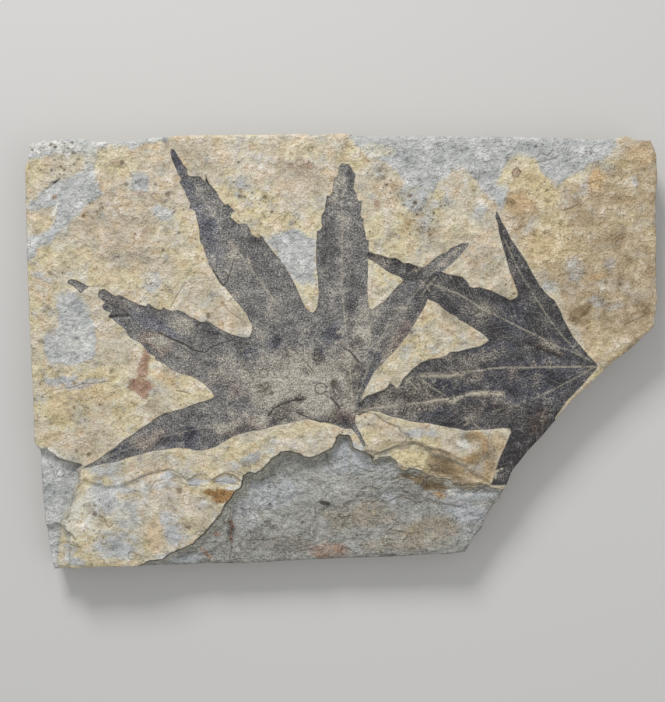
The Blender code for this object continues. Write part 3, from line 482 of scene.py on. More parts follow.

# Stains: (x, y, half width, half height, turn in degrees, strength); one white mark along the corner chip's
# rim is a painted highlight
STAINS = {
    "rust": [
        (144, 364, 4.4, 15, 4, 1.0), (141.5, 384, 10.5, 8, -8, 1.1), (143, 392, 8, 6, 14, 0.9),
        (230.6, 523, 2.0, 9, 2, 1.2), (229.6, 535, 1.1, 10, 0, 0.9), (204, 554, 11, 2.2, 38, 0.9),
        (214, 536, 4, 3, 0, 0.7), (136, 193, 5, 2.2, 0, 0.6), (77, 475, 2.5, 6, 0, 0.6),
        (300, 165, 10, 8, 0, 0.35), (307, 164, 4, 4, 0, 0.5), (289, 163, 4, 3, 0, 0.5),
        (377, 204, 4, 5, 0, 0.6), (516, 172, 5, 4, 0, 0.8), (55, 197, 3, 2.5, 0, 0.8),
        (116, 161, 3, 3, 0, 0.5), (190, 185, 12, 8, 40, 0.35), (150, 232, 8, 3, -25, 0.5),
        (330, 553, 22, 8, 0, 0.5), (594, 362, 10, 4, -45, 0.5), (455, 505, 8, 3, 0, 0.3),
        (148, 408, 5, 3, 0, 0.4), (225, 194, 4, 3, 0, 0.3), (172, 372, 10, 3, 30, 0.4),
        (70, 412, 3, 5, 0, 0.5),
    ],
    "orange": [
        (155, 534, 11, 20, 0, 0.45), (470, 457, 9, 3.4, -20, 0.8), (485, 447, 5, 9, 10, 0.7),
        (477, 437, 9, 5, 20, 0.7), (488, 470, 8, 14, 15, 0.5), (498, 444, 8, 14, 15, 0.45),
        (450, 466, 12, 5, 25, 0.5), (597, 180, 9, 14, 10, 0.6), (596, 276, 8, 4, -20, 0.5),
        (534, 340, 8, 4, 20, 0.3), (459, 470, 9, 6, 35, 0.6), (474, 473, 8, 6, 0, 0.5),
        (150, 147, 14, 5, 0, 0.4), (184, 162, 10, 6, 30, 0.35), (590, 372, 10, 5, -45, 0.5),
        (590, 335, 12, 20, -30, 0.3), (165, 378, 20, 5, 30, 0.5), (60, 404, 12, 18, 0, 0.35),
        (545, 245, 24, 20, 0, 0.35), (520, 205, 16, 12, 0, 0.45), (535, 180, 14, 8, 0, 0.4),
        (640, 155, 14, 12, 0, 0.4), (560, 190, 20, 14, 0, 0.25), (88, 395, 26, 14, 0, 0.3),
    ],
    "umber": [
        (211, 491.5, 7, 3, 8, 1.1), (220.5, 495, 7.5, 6.5, 30, 1.3), (228, 493, 6, 3.6, 0, 1.0),
        (439.5, 495.5, 6, 3.4, 10, 0.7),
    ],
    "brown": [
        (433, 486, 10, 5, 10, 1.3), (424, 481, 12, 4, 15, 0.9), (444, 468, 18, 9, 20, 1.0),
        (446, 456, 16, 3, 25, 1.1), (430, 474, 10, 5, 10, 0.8), (456, 478, 14, 5, 12, 0.8),
        (409, 479, 12, 3, 10, 0.6), (474, 484, 14, 2.4, 4, 0.8), (438, 484, 14, 8, 10, 0.9),
        (462, 481, 14, 6, 8, 0.9), (474, 438, 12, 5, 20, 0.6), (474, 458, 12, 6, -20, 0.6),
        (488, 460, 12, 22, 15, 0.4), (578, 314, 12, 7, -20, 0.7), (400, 547, 50, 6, 0, 0.35),
        (370, 515, 30, 14, 10, 0.4), (330, 525, 18, 14, 0, 0.3), (290, 545, 30, 10, 0, 0.25),
        (430, 530, 30, 14, 0, 0.45), (104, 230, 24, 5, 0, 0.3), (92, 222, 20, 5, 0, 0.35),
        (392, 345, 12, 10, -40, 0.3), (640, 300, 14, 14, 0, 0.3), (605, 250, 30, 40, 0, 0.25),
        (625, 215, 20, 30, 0, 0.2), (380, 446, 26, 3, -8, 0.45), (135, 275, 30, 16, 0, 0.2),
        (290, 180, 34, 20, 0, 0.25), (205, 175, 12, 14, -40, 0.3), (52, 330, 8, 5, 0, 0.4),
    ],
    "blue": [
        (348, 446, 9, 9, 0, 1.0), (358, 462, 14, 9, 20, 0.9), (335, 470, 12, 9, 0, 0.5),
        (265, 495, 40, 16, -15, 0.6), (245, 520, 18, 12, 0, 0.4), (380, 470, 20, 6, 0, 0.5),
        (465, 512, 24, 12, 20, 0.8), (475, 495, 20, 5, 8, 0.7), (470, 535, 12, 12, 0, 0.4),
        (322, 528, 8, 8, 0, 0.5), (390, 497, 20, 6, 10, 0.5), (180, 559, 24, 5, 0, 0.8),
        (350, 548, 12, 8, 0, 0.35), (560, 288, 22, 8, 0, 0.4), (105, 500, 14, 10, 0, 0.5),
        (165, 500, 12, 8, 0, 0.4), (180, 540, 9, 9, 0, 0.6), (110, 470, 16, 6, 10, 0.5),
        (165, 484, 14, 5, 0, 0.5), (197, 480, 9, 3.4, 0, 1.0), (226, 480, 11, 4, 4, 1.2),
        (167, 476, 8, 4, 0, 0.8), (142, 477, 8, 3, -20, 0.5), (110, 500, 9, 14, -10, 1.1),
        (129, 516, 12, 13, 20, 1.0), (118, 489, 14, 6, 0, 0.9), (171, 528, 9, 15, -20, 0.9),
        (108, 468, 20, 8, 0, 0.6), (96, 498, 8, 20, 10, 0.6), (115, 476, 12, 5, 0, 0.6),
        (178, 539, 5, 4.4, 0, 1.1), (148, 487, 8, 6, 0, 0.5), (68, 547, 11, 3, 12, 0.9),
        (72, 559, 12, 6, 20, 0.7), (350, 455, 16, 18, 20, 0.9), (118, 545, 26, 16, 0, 0.7),
        (140, 508, 14, 14, 0, 0.5), (200, 505, 10, 6, 0, 0.3), (245, 205, 8, 6, 0, 0.6),
        (237, 197, 5, 5, 0, 0.7), (250, 150, 8, 8, 0, 0.3), (60, 232, 14, 8, 0, 0.4),
        (42, 276, 14, 6, 20, 0.5), (66, 245, 18, 6, -10, 0.3), (120, 215, 20, 6, 30, 0.3),
        (418, 198, 22, 16, 30, 0.6), (430, 226, 18, 14, 0, 0.5), (240, 182, 6, 8, 0, 0.5),
        (265, 160, 10, 8, 0, 0.4), (130, 385, 10, 4, 0, 0.3), (60, 381, 18, 5, -10, 0.8),
        (85, 385, 24, 3.4, -10, 0.9), (250, 461, 13, 7, -30, 0.7), (232, 466, 8, 5, 0, 0.5),
        (266, 447, 14, 6, -20, 0.5), (190, 461, 26, 5, -6, 0.35), (430, 350, 10, 6, 0, 0.4),
        (405, 352, 10, 8, -40, 0.5), (380, 170, 8, 8, 0, 0.4), (208, 244, 3, 30, -12, 0.5),
        (477, 215, 7, 11, 15, 0.8), (450, 212, 8, 16, 10, 0.4), (500, 200, 5, 12, 0, 0.5),
        (420, 432, 18, 5, 10, 0.6), (532, 224, 5, 12, 40, 0.7), (565, 200, 6, 10, 30, 0.5),
        (583, 188, 5, 12, 35, 0.5), (634, 182, 5, 5, 0, 0.7), (575, 268, 12, 12, 0, 0.6),
        (598, 300, 9, 7, 0, 0.6), (612, 306, 14, 4, -5, 0.5), (640, 296, 12, 12, 0, 0.3),
        (612, 262, 8, 6, 0, 0.5), (466, 495, 16, 5, 6, 1.1), (384, 482, 10, 4, 0, 0.5),
        (478, 468, 6, 8, 0, 0.5), (55, 357, 10, 8, 0, 0.3),
    ],
    "pink": [
        (124, 242, 26, 20, 0, 0.45), (150, 226, 14, 10, 0, 0.4), (100, 262, 22, 10, 0, 0.3),
        (300, 180, 24, 16, 0, 0.5), (285, 205, 20, 8, 0, 0.4), (60, 180, 12, 8, 0, 0.3),
        (420, 330, 12, 20, 30, 0.3), (385, 432, 22, 14, 0, 0.5), (230, 440, 20, 5, -20, 0.3),
        (140, 505, 14, 10, 0, 0.4), (200, 515, 10, 12, 0, 0.4), (350, 520, 30, 20, 0, 0.25),
        (410, 540, 40, 12, 0, 0.35), (545, 230, 20, 14, 0, 0.4), (600, 200, 20, 20, 0, 0.3),
        (185, 205, 8, 30, -20, 0.4), (160, 270, 30, 14, 0, 0.4), (180, 300, 20, 8, 20, 0.4),
        (410, 220, 10, 14, 0, 0.3), (130, 200, 30, 10, 0, 0.3),
    ],
    "yellow": [
        (408, 458, 15, 8, 14, 1.1), (424, 464, 8, 7, 0, 1.0), (396, 453, 5, 4, 0, 0.8),
        (36, 172, 11, 14, 0, 0.35), (40, 222, 12, 8, 0, 0.5), (550, 235, 24, 26, 0, 0.5),
        (545, 195, 22, 12, 30, 0.6), (115, 160, 30, 16, 0, 0.4), (640, 285, 10, 10, 0, 0.3),
        (125, 280, 30, 12, 0, 0.5), (70, 255, 26, 12, 0, 0.4), (60, 410, 20, 16, 0, 0.4),
        (110, 375, 26, 10, 0, 0.4), (200, 395, 16, 6, 0, 0.5), (300, 430, 36, 7, -8, 0.5),
        (214, 452, 12, 5, -20, 0.4), (118, 372, 20, 6, 0, 0.4), (150, 510, 14, 12, 0, 0.4),
        (190, 525, 14, 12, 0, 0.4), (120, 520, 20, 16, 0, 0.3), (260, 215, 20, 8, 0, 0.4),
        (375, 230, 10, 14, 0, 0.4), (455, 225, 30, 20, 0, 0.4), (515, 180, 22, 14, 0, 0.45),
        (380, 150, 18, 8, 0, 0.4), (310, 290, 8, 10, 0, 0.6), (240, 300, 14, 16, 0, 0.3),
        (390, 335, 16, 20, 30, 0.4), (470, 275, 30, 8, 20, 0.3), (365, 435, 8, 8, 0, 0.5),
        (100, 455, 20, 4, 0, 0.3), (300, 150, 30, 10, 0, 0.4), (620, 200, 24, 40, 0, 0.2),
    ],
    "white": [
        (54.5, 210, 3, 10, 8, 1.2), (58, 148, 34, 7, 0, 0.7), (88, 512, 9, 26, 4, 0.55),
        (72, 518, 8, 30, 10, 0.6), (150, 500, 50, 28, 0, 0.3), (462, 493, 12, 4, 0, 0.5),
        (160, 498, 12, 6, 0, 0.4), (75, 274, 14, 5, 0, 0.5), (470, 203, 24, 20, 0, 0.3),
        (463, 444, 8, 5, 20, 0.7), (449, 485.5, 4.5, 2.6, 20, 1.1), (450, 493, 5, 3, 30, 0.8),
        (606, 288, 8, 6, 0, 0.4), (628, 288, 10, 6, 0, 0.3), (140, 180, 8, 8, 0, 0.3),
        (166, 214, 9, 4, -20, 0.8), (75, 344, 18, 16, 0, 0.4), (233, 488.5, 5, 2.8, 10, 1.3),
        (142.5, 483, 4.5, 1.6, 0, 1.1), (203, 501, 4, 3, 0, 0.8), (212, 244, 2, 30, -14, 0.5),
        (610, 285, 12, 10, 0, 0.3), (222, 268, 2.5, 12, -30, 0.6), (300, 262, 10, 14, 0, 0.2),
        # The first white mark on the next row is a painted highlight along the corner chip's rim
        (54, 453, 12, 3.4, 24, 1.1), (65, 561, 5, 3, 0, 0.7), (262, 330, 3, 8, -20, 0.3),
        (300, 440, 30, 4, -6, 0.3), (100, 142, 12, 3, 0, 0.4), (420, 183, 20, 4, 10, 0.3),
        (395, 345, 10, 5, -40, 0.35),
    ],
    "dark_spot": [
        (372, 457, 3, 2.4, 0, 1.0), (322.5, 503.5, 3.4, 3, 0, 1.3), (327, 505, 3.5, 1.5, 10, 1.2),
        (301, 521, 4, 3.4, 0, 0.6), (165.7, 139.3, 1.1, 1.8, 20, 0.8), (415, 205, 14, 12, 0, 0.3),
        (436, 215, 10, 12, 0, 0.25), (45, 529, 8, 3, 0, 0.4), (57, 181, 5, 1.2, -30, 0.9),
        (78, 466, 5, 2, 10, 0.5),
    ],
    # Where small dark dots crowd
    "speckled": [
        (414, 214, 16, 20, 20, 1.0), (438, 206, 10, 14, 20, 0.8), (428, 226, 16, 12, 0, 0.7),
        (404, 232, 10, 8, 0, 0.6), (64, 152, 26, 12, 0, 0.45), (62, 168, 18, 8, 0, 0.4),
        (244, 192, 14, 16, 0, 0.5), (264, 202, 14, 10, 0, 0.45), (384, 180, 12, 16, 0, 0.5),
        (75, 195, 20, 14, 0, 0.35), (265, 385, 22, 12, 20, 0.6), (430, 160, 24, 12, 0, 0.3),
        (94, 520, 20, 30, 0, 0.3), (280, 540, 40, 20, 0, 0.3), (590, 200, 60, 50, 0, 0.25),
    ],
    # Where layers end close together, one after another
    "laminated": [
        (415, 476, 40, 7, 6, 1.0), (470, 488, 26, 6, 5, 0.9), (385, 492, 40, 12, 0, 0.5),
        (380, 475, 24, 10, 20, 0.6), (440, 466, 16, 8, 20, 0.6),
    ],
    # Over the leaves: where the film is darker, where it is worn through, and where it is bluish or brown
    "film_dark": [
        (327, 245, 8, 26, 0, 0.6), (392, 330, 14, 40, 38, 0.4), (421, 302, 8, 12, 0, 1.0),
        (274, 344, 6, 6, 0, 0.9), (283, 354, 6, 5, 20, 0.7), (251, 355, 8, 6, 0, 0.8),
        (332.8, 333, 9, 9, 0, 0.9), (319.7, 356, 6, 10, 0, 1.6), (358, 343, 7, 7, 0, 0.7),
        (378.6, 352.7, 10, 6, -45, 0.7), (365.5, 376.7, 7, 9, 20, 1.0), (360, 387, 7, 5, 0, 0.9),
        (166, 440, 13, 6, -12, 0.9), (190, 437, 7, 10, 0, 1.3), (280, 414, 14, 9, -30, 1.3),
        (301, 399, 4.5, 4, 0, 1.8), (298, 410, 8, 4, 20, 1.1), (263, 390, 10, 6, 20, 0.9),
        (336, 388, 6, 9, 0, 1.3), (356, 377, 10, 17, 15, 1.1), (340, 418, 17, 8, 5, 0.9),
        (122, 452, 12, 6, -30, 0.8), (240, 430, 18, 4, -14, 0.5), (410, 268, 8, 6, 0, 1.0),
        (177, 160, 5, 14, -24, 1.0), (190, 182, 4, 10, -20, 0.5), (345, 402, 16, 12, 0, 0.4),
        (206, 222, 4, 14, -10, 0.5), (253, 240, 9, 4, 10, 0.9), (262, 250, 5, 10, -35, 0.5),
        (266, 391, 10, 4, 30, 0.5), (150, 313, 20, 6, 25, 0.5), (210, 330, 24, 4, 28, 0.5),
        (200, 363, 20, 4, 28, 0.4), (236, 345, 5, 4, 0, 0.6), (350, 300, 6, 40, 0, 0.3),
        (390, 262, 16, 4, 12, 0.3), (530, 440, 34, 20, -50, 0.45), (515, 455, 16, 12, 0, 0.5),
        (480, 382, 40, 6, 0, 0.25), (440, 388, 24, 6, 0, 0.6), (528, 380, 36, 18, 0, 0.3),
        (515, 315, 20, 14, 30, 0.3), (425, 397, 24, 14, 0, 0.5), (430, 412, 24, 4, 0, 0.5),
        (470, 405, 14, 6, 0, 0.35), (460, 424, 24, 3, 2, 0.5), (500, 352, 14, 8, 20, 0.3),
        (470, 345, 20, 5, -10, 0.4), (500, 407, 10, 2.5, -10, 0.8), (545, 350, 16, 3, 22, 0.5),
        (390, 408, 4, 3, 0, 0.4), (404, 410, 6, 4, 0, 0.6), (352, 175, 4, 8, 0, 0.5),
        (350, 252, 4, 20, 0, 0.4), (505, 235, 3, 18, -18, 0.6),
    ],
    "film_worn": [
        (300, 385, 60, 36, 0, 1.0), (240, 376, 34, 16, 20, 0.6), (158, 342, 12, 8, 25, 0.9),
        (395, 405, 18, 8, 0, 1.0), (465, 297, 16, 12, 0, 0.2), (350, 360, 20, 40, 0, 0.6),
        (365, 325, 12, 30, 15, 0.6), (262, 412, 40, 12, -8, 0.45), (148, 438, 20, 7, -15, 0.4),
        (228, 425, 20, 6, -12, 0.6), (397, 320, 7, 26, 36, 0.5), (412, 397, 30, 20, 0, 0.7),
        (370, 408, 26, 6, 0, 0.7), (265, 320, 14, 20, 20, 0.35), (340, 195, 9, 40, 0, 0.45),
        (470, 358, 30, 7, 0, 0.6), (486, 310, 16, 14, 20, 0.6), (380, 345, 14, 20, 0, 0.3),
        (500, 380, 70, 30, 0, 0.2), (180, 325, 24, 8, 25, 0.6), (450, 258, 16, 8, -35, 0.2),
        (505, 245, 4, 30, -14, 0.2), (383, 262, 14, 5, 15, 0.5), (230, 265, 16, 26, -30, 0.45),
        (205, 200, 12, 20, -30, 0.35), (180, 348, 14, 6, 25, 0.5), (320, 400, 30, 14, 0, 0.4),
        (445, 376, 30, 4, 0, 0.5), (300, 365, 16, 12, 40, 0.7), (440, 365, 20, 8, 0, 0.4),
        (480, 415, 26, 8, 0, 0.35), (550, 345, 10, 4, 30, 0.6), (345, 270, 10, 30, 0, 0.25),
        (395, 315, 4, 10, 30, 0.4), (135, 308, 20, 5, 25, 0.3),
    ],
    "film_blue": [
        (178, 160, 8, 16, -25, 1.0), (205, 222, 12, 26, -15, 1.0), (190, 190, 8, 14, -25, 0.8),
        (215, 250, 10, 20, -20, 0.7), (334, 333, 12, 12, 0, 0.9), (320, 356, 8, 10, 0, 0.9),
        (274, 344, 9, 9, 0, 0.7), (251, 355, 9, 7, 0, 0.9), (366, 377, 9, 10, 0, 0.9),
        (378, 352, 12, 8, 0, 0.7), (337, 389, 8, 10, 0, 0.9),
        (412, 295, 10, 12, 0, 0.5), (448, 388, 30, 9, 5, 1.0), (490, 350, 30, 8, -5, 0.9),
        (430, 412, 26, 7, 0, 0.9), (500, 440, 20, 10, 0, 0.5), (530, 380, 50, 24, 0, 0.8),
        (512, 318, 26, 18, 30, 0.7), (560, 350, 20, 14, 30, 0.5), (190, 437, 10, 12, 0, 0.8),
        (166, 440, 13, 8, -12, 0.8), (122, 452, 12, 7, -30, 0.9), (150, 318, 26, 8, 25, 0.5),
        (120, 325, 14, 6, 30, 0.6), (155, 327, 30, 9, 25, 0.8),
    ],
    "film_brown": [
        (156, 342, 17, 10, 25, 1.1), (112, 302, 14, 6, 25, 0.6), (150, 440, 24, 9, -18, 0.6),
        (240, 425, 30, 8, -10, 0.6), (400, 335, 8, 30, 38, 0.6), (238, 250, 12, 12, -40, 0.4),
        (350, 235, 10, 30, 0, 0.2), (300, 385, 50, 30, 0, 0.5), (230, 385, 24, 10, 30, 0.7),
        (538, 422, 10, 16, 30, 0.8), (380, 258, 14, 5, 10, 0.5), (450, 255, 16, 8, -30, 0.3),
        (550, 347, 14, 5, 25, 1.0), (345, 372, 12, 30, 0, 0.7), (340, 415, 30, 7, 10, 0.9),
        (305, 362, 14, 14, 0, 0.6), (500, 372, 60, 10, 0, 0.3), (480, 410, 40, 8, 0, 0.4),
    ],
}
# The lobes' middle veins, from the stalk's end out to the tips
BROAD_MIDRIBS = [
    [(354, 410), (300, 413), (250, 421), (150, 441), (82, 468)],
    [(350, 410), (280, 385), (240, 368), (205, 353), (135, 321), (103, 299)],
    [(350, 405), (315, 376), (290, 349), (275, 302), (243, 258), (218, 221), (194, 184), (176, 158)],
    [(352, 408), (350, 370), (344, 310), (342, 262), (342, 213), (345, 180)],
    [(354, 408), (370, 362), (390, 322), (410, 300), (436, 268), (469, 243)],
]
SIDE_MIDRIBS = [
    [(597, 367), (541, 367), (491, 368), (449, 376), (400, 377)],
    [(592, 360), (538, 336), (483, 309), (441, 288), (400, 266), (367, 252)],
    [(594, 362), (563, 336), (542, 307), (519, 271), (504, 238), (497, 209)],
    [(597, 368), (557, 387), (518, 405), (474, 411), (426, 407), (357, 413)],
    [(597, 370), (560, 400), (525, 440), (498, 482)],
]
# How light the leaf films are
BROAD_TONE, SIDE_TONE = 0.555, 0.24
FACE_TONES = [
    (260, 160, 60, 30, 0, 0.05), (90, 405, 36, 30, 0, -0.07), (300, 440, 30, 10, 0, 0.06),
    (120, 230, 50, 40, 0, -0.03), (40, 350, 20, 100, 0, -0.03), (610, 336, 30, 12, 0, 0.08),
    (418, 228, 24, 14, 0, -0.2), (398, 336, 22, 16, -40, -0.22), (620, 310, 26, 14, 0, -0.1),
    (66, 500, 8, 26, 0, -0.1), (118, 545, 24, 16, 0, -0.04), (230, 526, 4, 14, 0, -0.4),
    (219, 495, 15, 8, 10, -0.2), (578, 313, 12, 8, -10, -0.3), (434, 485, 12, 6, 10, -0.3),
    (450, 467, 24, 10, 20, -0.09), (484, 458, 16, 20, 15, -0.12), (470, 440, 12, 8, 20, -0.1),
    (555, 235, 24, 24, 0, 0.04), (110, 215, 40, 5, 10, -0.12), (85, 216, 3, 3, 0, -0.4),
    (36, 170, 12, 12, 0, -0.08), (80, 381, 38, 5, -4, -0.22), (60, 346, 30, 16, 0, -0.04),
    (487, 256, 9, 18, 0, -0.12), (600, 300, 20, 10, 0, -0.1), (250, 461, 14, 8, -30, -0.26),
    (270, 182, 26, 10, 0, 0.06), (640, 225, 16, 30, 0, 0.08), (140, 181, 10, 10, 0, -0.14),
    (192, 460, 22, 6, -6, 0.1), (118, 490, 12, 8, 0, 0.16), (335, 482, 46, 14, 0, 0.12),
    (412, 458, 14, 8, 0, -0.1), (430, 525, 34, 20, 0, 0.08), (470, 208, 24, 16, 0, -0.06),
]
TAN_PX = [
    (500, 190), (520, 168), (545, 195), (575, 180), (600, 168), (625, 150), (645, 130), (680, 130),
    (680, 340), (610, 380), (585, 345), (560, 300), (530, 262), (508, 225),
]


def metres(points):
    """Places in pixels of the picture as metres in the shared frame, with y up."""
    return (np.asarray(points, float) - MIDDLE_PX) * (PIXEL, -PIXEL)


def ramp(value):
    """0 below 0, 1 above 1, and smooth between."""
    held = np.clip(value, 0, 1)
    return held * held * (3 - 2 * held)


def lattice_value(ix, iy, seed):
    """An even random number from 0 to 1 for each whole-numbered place."""
    mixed = (ix * 374761393 + iy * 668265263 + seed * 974634777) & 0xFFFFFFFF
    mixed = ((mixed ^ (mixed >> 13)) * 1274126177) & 0xFFFFFFFF
    return ((mixed ^ (mixed >> 16)) & 0xFFFF) / 65535.0


def clouds(points, size, octaves=4, seed=0, stretch=(1.0, 1.0), rough=0.5):
    """Smooth random unevenness from about -1 to 1, whose largest lumps are size pixels across."""
    total, weights, amount = 0.0, 0.0, 1.0
    for octave in range(octaves):
        turn = 0.4 + 1.9 * octave if stretch == (1.0, 1.0) else 0.05
        cos, sin = math.cos(turn), math.sin(turn)
        x = (points[:, 0] * cos - points[:, 1] * sin) / (size * stretch[0]) + 17.3 * octave
        y = (points[:, 0] * sin + points[:, 1] * cos) / (size * stretch[1]) + 5.9 * octave
        ix, iy = np.floor(x).astype(np.int64), np.floor(y).astype(np.int64)
        fx, fy = ramp(x - ix), ramp(y - iy)
        corner = [
            lattice_value(ix + a, iy + b, seed + 31 * octave) for a, b in ((0, 0), (1, 0), (0, 1), (1, 1))]
        low = corner[0] + (corner[1] - corner[0]) * fx
        high = corner[2] + (corner[3] - corner[2]) * fx
        total = total + amount * (low + (high - low) * fy)
        weights += amount
        amount *= rough
        size /= 2.07
    return total / weights * 2 - 1


def ragged(points, amount, size, seed=0):
    """The points moved about by up to amount, so that shapes drawn with them get uneven edges."""
    moves = [clouds(points, size, 3, own) for own in (seed, seed + 7)]
    return points + amount * np.stack(moves, axis=1)


def depth_inside(outline, points, reach=REACH):
    """How far each point lies inside a closed outline, in pixels: negative outside, and held to the reach."""
    outline = np.asarray(outline, float)
    made = np.full(len(points), -reach)
    near = ((points > outline.min(axis=0) - reach) & (points < outline.max(axis=0) + reach)).all(axis=1)
    spot = points[near]
    nearest = np.full(len(spot), np.inf)
    inside = np.zeros(len(spot), bool)
    for start, end in zip(outline, np.roll(outline, -1, axis=0)):
        along = end - start
        from_start = spot - start
        share = np.clip(from_start @ along / max(along @ along, 1e-12), 0, 1)
        gap = from_start - share[:, None] * along
        nearest = np.minimum(nearest, gap[:, 0] ** 2 + gap[:, 1] ** 2)
        if along[1]:
            crosses = (start[1] > spot[:, 1]) != (end[1] > spot[:, 1])
            inside ^= crosses & (spot[:, 0] < start[0] + along[0] * (spot[:, 1] - start[1]) / along[1])
    made[near] = np.clip(np.where(inside, 1, -1) * np.sqrt(nearest), -reach, reach)
    return made


def line_mark(line, points, width):
    """1 on an open line, falling to 0 at width pixels from it and along its last stretch at both ends."""
    line = np.asarray(line, float)
    made = np.zeros(len(points))
    near = ((points > line.min(axis=0) - width) & (points < line.max(axis=0) + width)).all(axis=1)
    spot = points[near]
    best = np.full(len(spot), np.inf)
    for start, end in zip(line, line[1:]):
        along = end - start
        from_start = spot - start
        share = np.clip(from_start @ along / (along @ along), 0, 1)
        gap = from_start - share[:, None] * along
        best = np.minimum(best, gap[:, 0] ** 2 + gap[:, 1] ** 2)
    made[near] = 1 - ramp(np.sqrt(best) / width)
    return made


def blots(places, points):
    """The strongest of some soft ellipses at each point, weighted by their strengths."""
    made = np.zeros(len(points))
    for x, y, half_w, half_h, turn, strength in places:
        angle = math.radians(turn)
        dx, dy = points[:, 0] - x, points[:, 1] - y
        across = (dx * math.cos(angle) + dy * math.sin(angle)) / half_w
        down = (dy * math.cos(angle) - dx * math.sin(angle)) / half_h
        mark = strength * ramp(1.6 - 1.1 * np.hypot(across, down))
        made = np.where(np.abs(mark) > np.abs(made), mark, made)
    return made


def leaf_depth(points):
    """How far inside the broad leaf, with its tip scrap, and inside the side leaf each point lies."""
    broad = np.maximum(depth_inside(BROAD_LEAF_PX, points), depth_inside(TIP_SCRAP_PX, points))
    side = depth_inside(SIDE_LEAF_PX, points)
    return broad, side


def rings_away(points, x, y, radius):
    """How far each point lies from a small ring."""
    return np.abs(np.hypot(points[:, 0] - x, points[:, 1] - y) - radius)


def waves(points, name):
    """One of the WAVES, in millimetres."""
    height, *shape = WAVES[name]
    return height * clouds(points, *shape)


def sheets(points, size, seed, stretch, count):
    """Thin layers broken off along uneven lines: steps from 0 to 1 over the stone."""
    level = (clouds(points, size, 5, seed, stretch, 0.55) * 0.9 + 0.5) * count
    whole = np.floor(level)
    return (whole + ramp((level - whole) / SHEET_EDGE)) / count


def main_wall_width(points):
    """How wide the broken wall under the main ledge is, in pixels, with an uneven foot."""
    return np.interp(points[:, 0], *np.transpose(LEDGE_WALL_AT)) * (1 + 0.55 * clouds(points, 8, 3, 19))


def ledge_drop(into, width):
    """The share of a ledge's depth that is reached: a short sheer lip, then a broken slope."""
    slope = np.clip((into - SLOPE_START) / np.maximum(width - SLOPE_START, 0.5), 0, 1)
    return LIP_SHARE * ramp(into / LIP_WIDTH) + SLOPE_SHARE * slope


def flaked_depth(points, floor):
    """How many millimetres have come off above each point."""
    main = np.interp(points[:, 0], *np.transpose(LEDGE_DEPTH_AT))
    for name, deepest, wall in FLOOR_FLAKES:
        main += deepest * ramp(depth_inside(LEDGES[name], points) / wall)
    main += waves(points, "floor swell")
    main -= FLOOR_SHEETS * (sheets(points, 46, 21, (2.2, 0.8), 5) - 0.5)
    depth = main * floor
    for name, deepest, wall in FLAKES:
        depth = np.maximum(depth, deepest * ledge_drop(depth_inside(LEDGES[name], points), wall))
    return depth


def marked_depth(points):
    """How deep the veins, cracks, rings, spots and blots are cut, in millimetres."""
    cut = np.zeros(len(points))
    for lines, deepest, more in ((LIGHT_LINES, LIGHT_LINE_CUT, 0.6), (DARK_LINES, DARK_LINE_CUT, 0.4)):
        for line, width, strength in lines:
            cut += deepest * strength * line_mark(line, points, width + more)
    for x, y, radius, strength in RINGS:
        cut += RING_CUT * strength * (1 - ramp(rings_away(points, x, y, radius) / 1.4))
    for x, y, radius, strength in SPOTS:
        cut += SPOT_CUT * strength * ramp(1.5 - np.hypot(points[:, 0] - x, points[:, 1] - y) / radius)
    return cut + BLOT_CUT * blots(STAINS["dark_spot"], points) * (0.5 + 0.5 * clouds(points, 4, 2, 17))


def face_height(points, rim_depth):
    """The split face's height in millimetres, with the fine relief that the CAD model leaves out."""
    into_floor = depth_inside(LEDGES["main"], points)
    wall_width = main_wall_width(points)
    floor = ledge_drop(into_floor, wall_width)
    leaf = ramp(np.maximum(*leaf_depth(points)) / IMPRINT_WALL)
    plain = 1 - 0.6 * leaf
    brink = np.exp(-((into_floor - 0.5 * wall_width) / (0.6 * wall_width)) ** 2)
    height = THICKNESS + waves(points, "bow") - flaked_depth(points, floor) - IMPRINT_DEPTH * leaf
    height -= FACE_SHEETS * plain * (1 - sheets(points, 60, 11, (1.3, 1.0), 4))
    height += (waves(points, "face coarse") + waves(points, "face fine")) * plain
    height += floor * (waves(points, "floor coarse") + waves(points, "floor fine"))
    height += brink * waves(points, "brink")
    laminae = sheets(points, 15, 23, (2.4, 0.7), 4) - 0.5
    height += LAMINATED_SHEETS * blots(STAINS["laminated"], points) * laminae
    height -= marked_depth(points)
    height -= ARRIS_DROP * (1 - ramp(rim_depth / ARRIS_WIDTH)) * (0.75 + 0.5 * clouds(points, 9, 3, 18))
    return np.minimum(height, TOP_LIMIT)


def divided(line, step, closed=True):
    """The line's own points, with more between them where they are further apart than step."""
    line = np.asarray(line, float)
    ends = np.roll(line, -1, axis=0) if closed else line[1:]
    made = []
    for start, end in zip(line, ends):
        parts = max(1, int(round(np.linalg.norm(end - start) / step)))
        made += [start + (end - start) * i / parts for i in range(parts)]
    return np.array(made if closed else made + [line[-1]])


def sideways(line, distance, closed=True):
    """A line's points moved sideways: inwards, if it is closed and runs clockwise in the picture."""
    if closed:
        along = np.roll(line, -1, axis=0) - np.roll(line, 1, axis=0)
    else:
        along = np.gradient(line, axis=0)
    along /= np.maximum(np.linalg.norm(along, axis=1), 1e-9)[:, None]
    return line + distance * np.stack([-along[:, 1], along[:, 0]], axis=1)


def clockwise(line):
    """The closed line, turned round if it runs anticlockwise in the picture."""
    line = np.asarray(line, float)
    ends = np.roll(line, -1, axis=0)
    return line if (line[:, 0] * ends[:, 1] - ends[:, 0] * line[:, 1]).sum() > 0 else line[::-1]


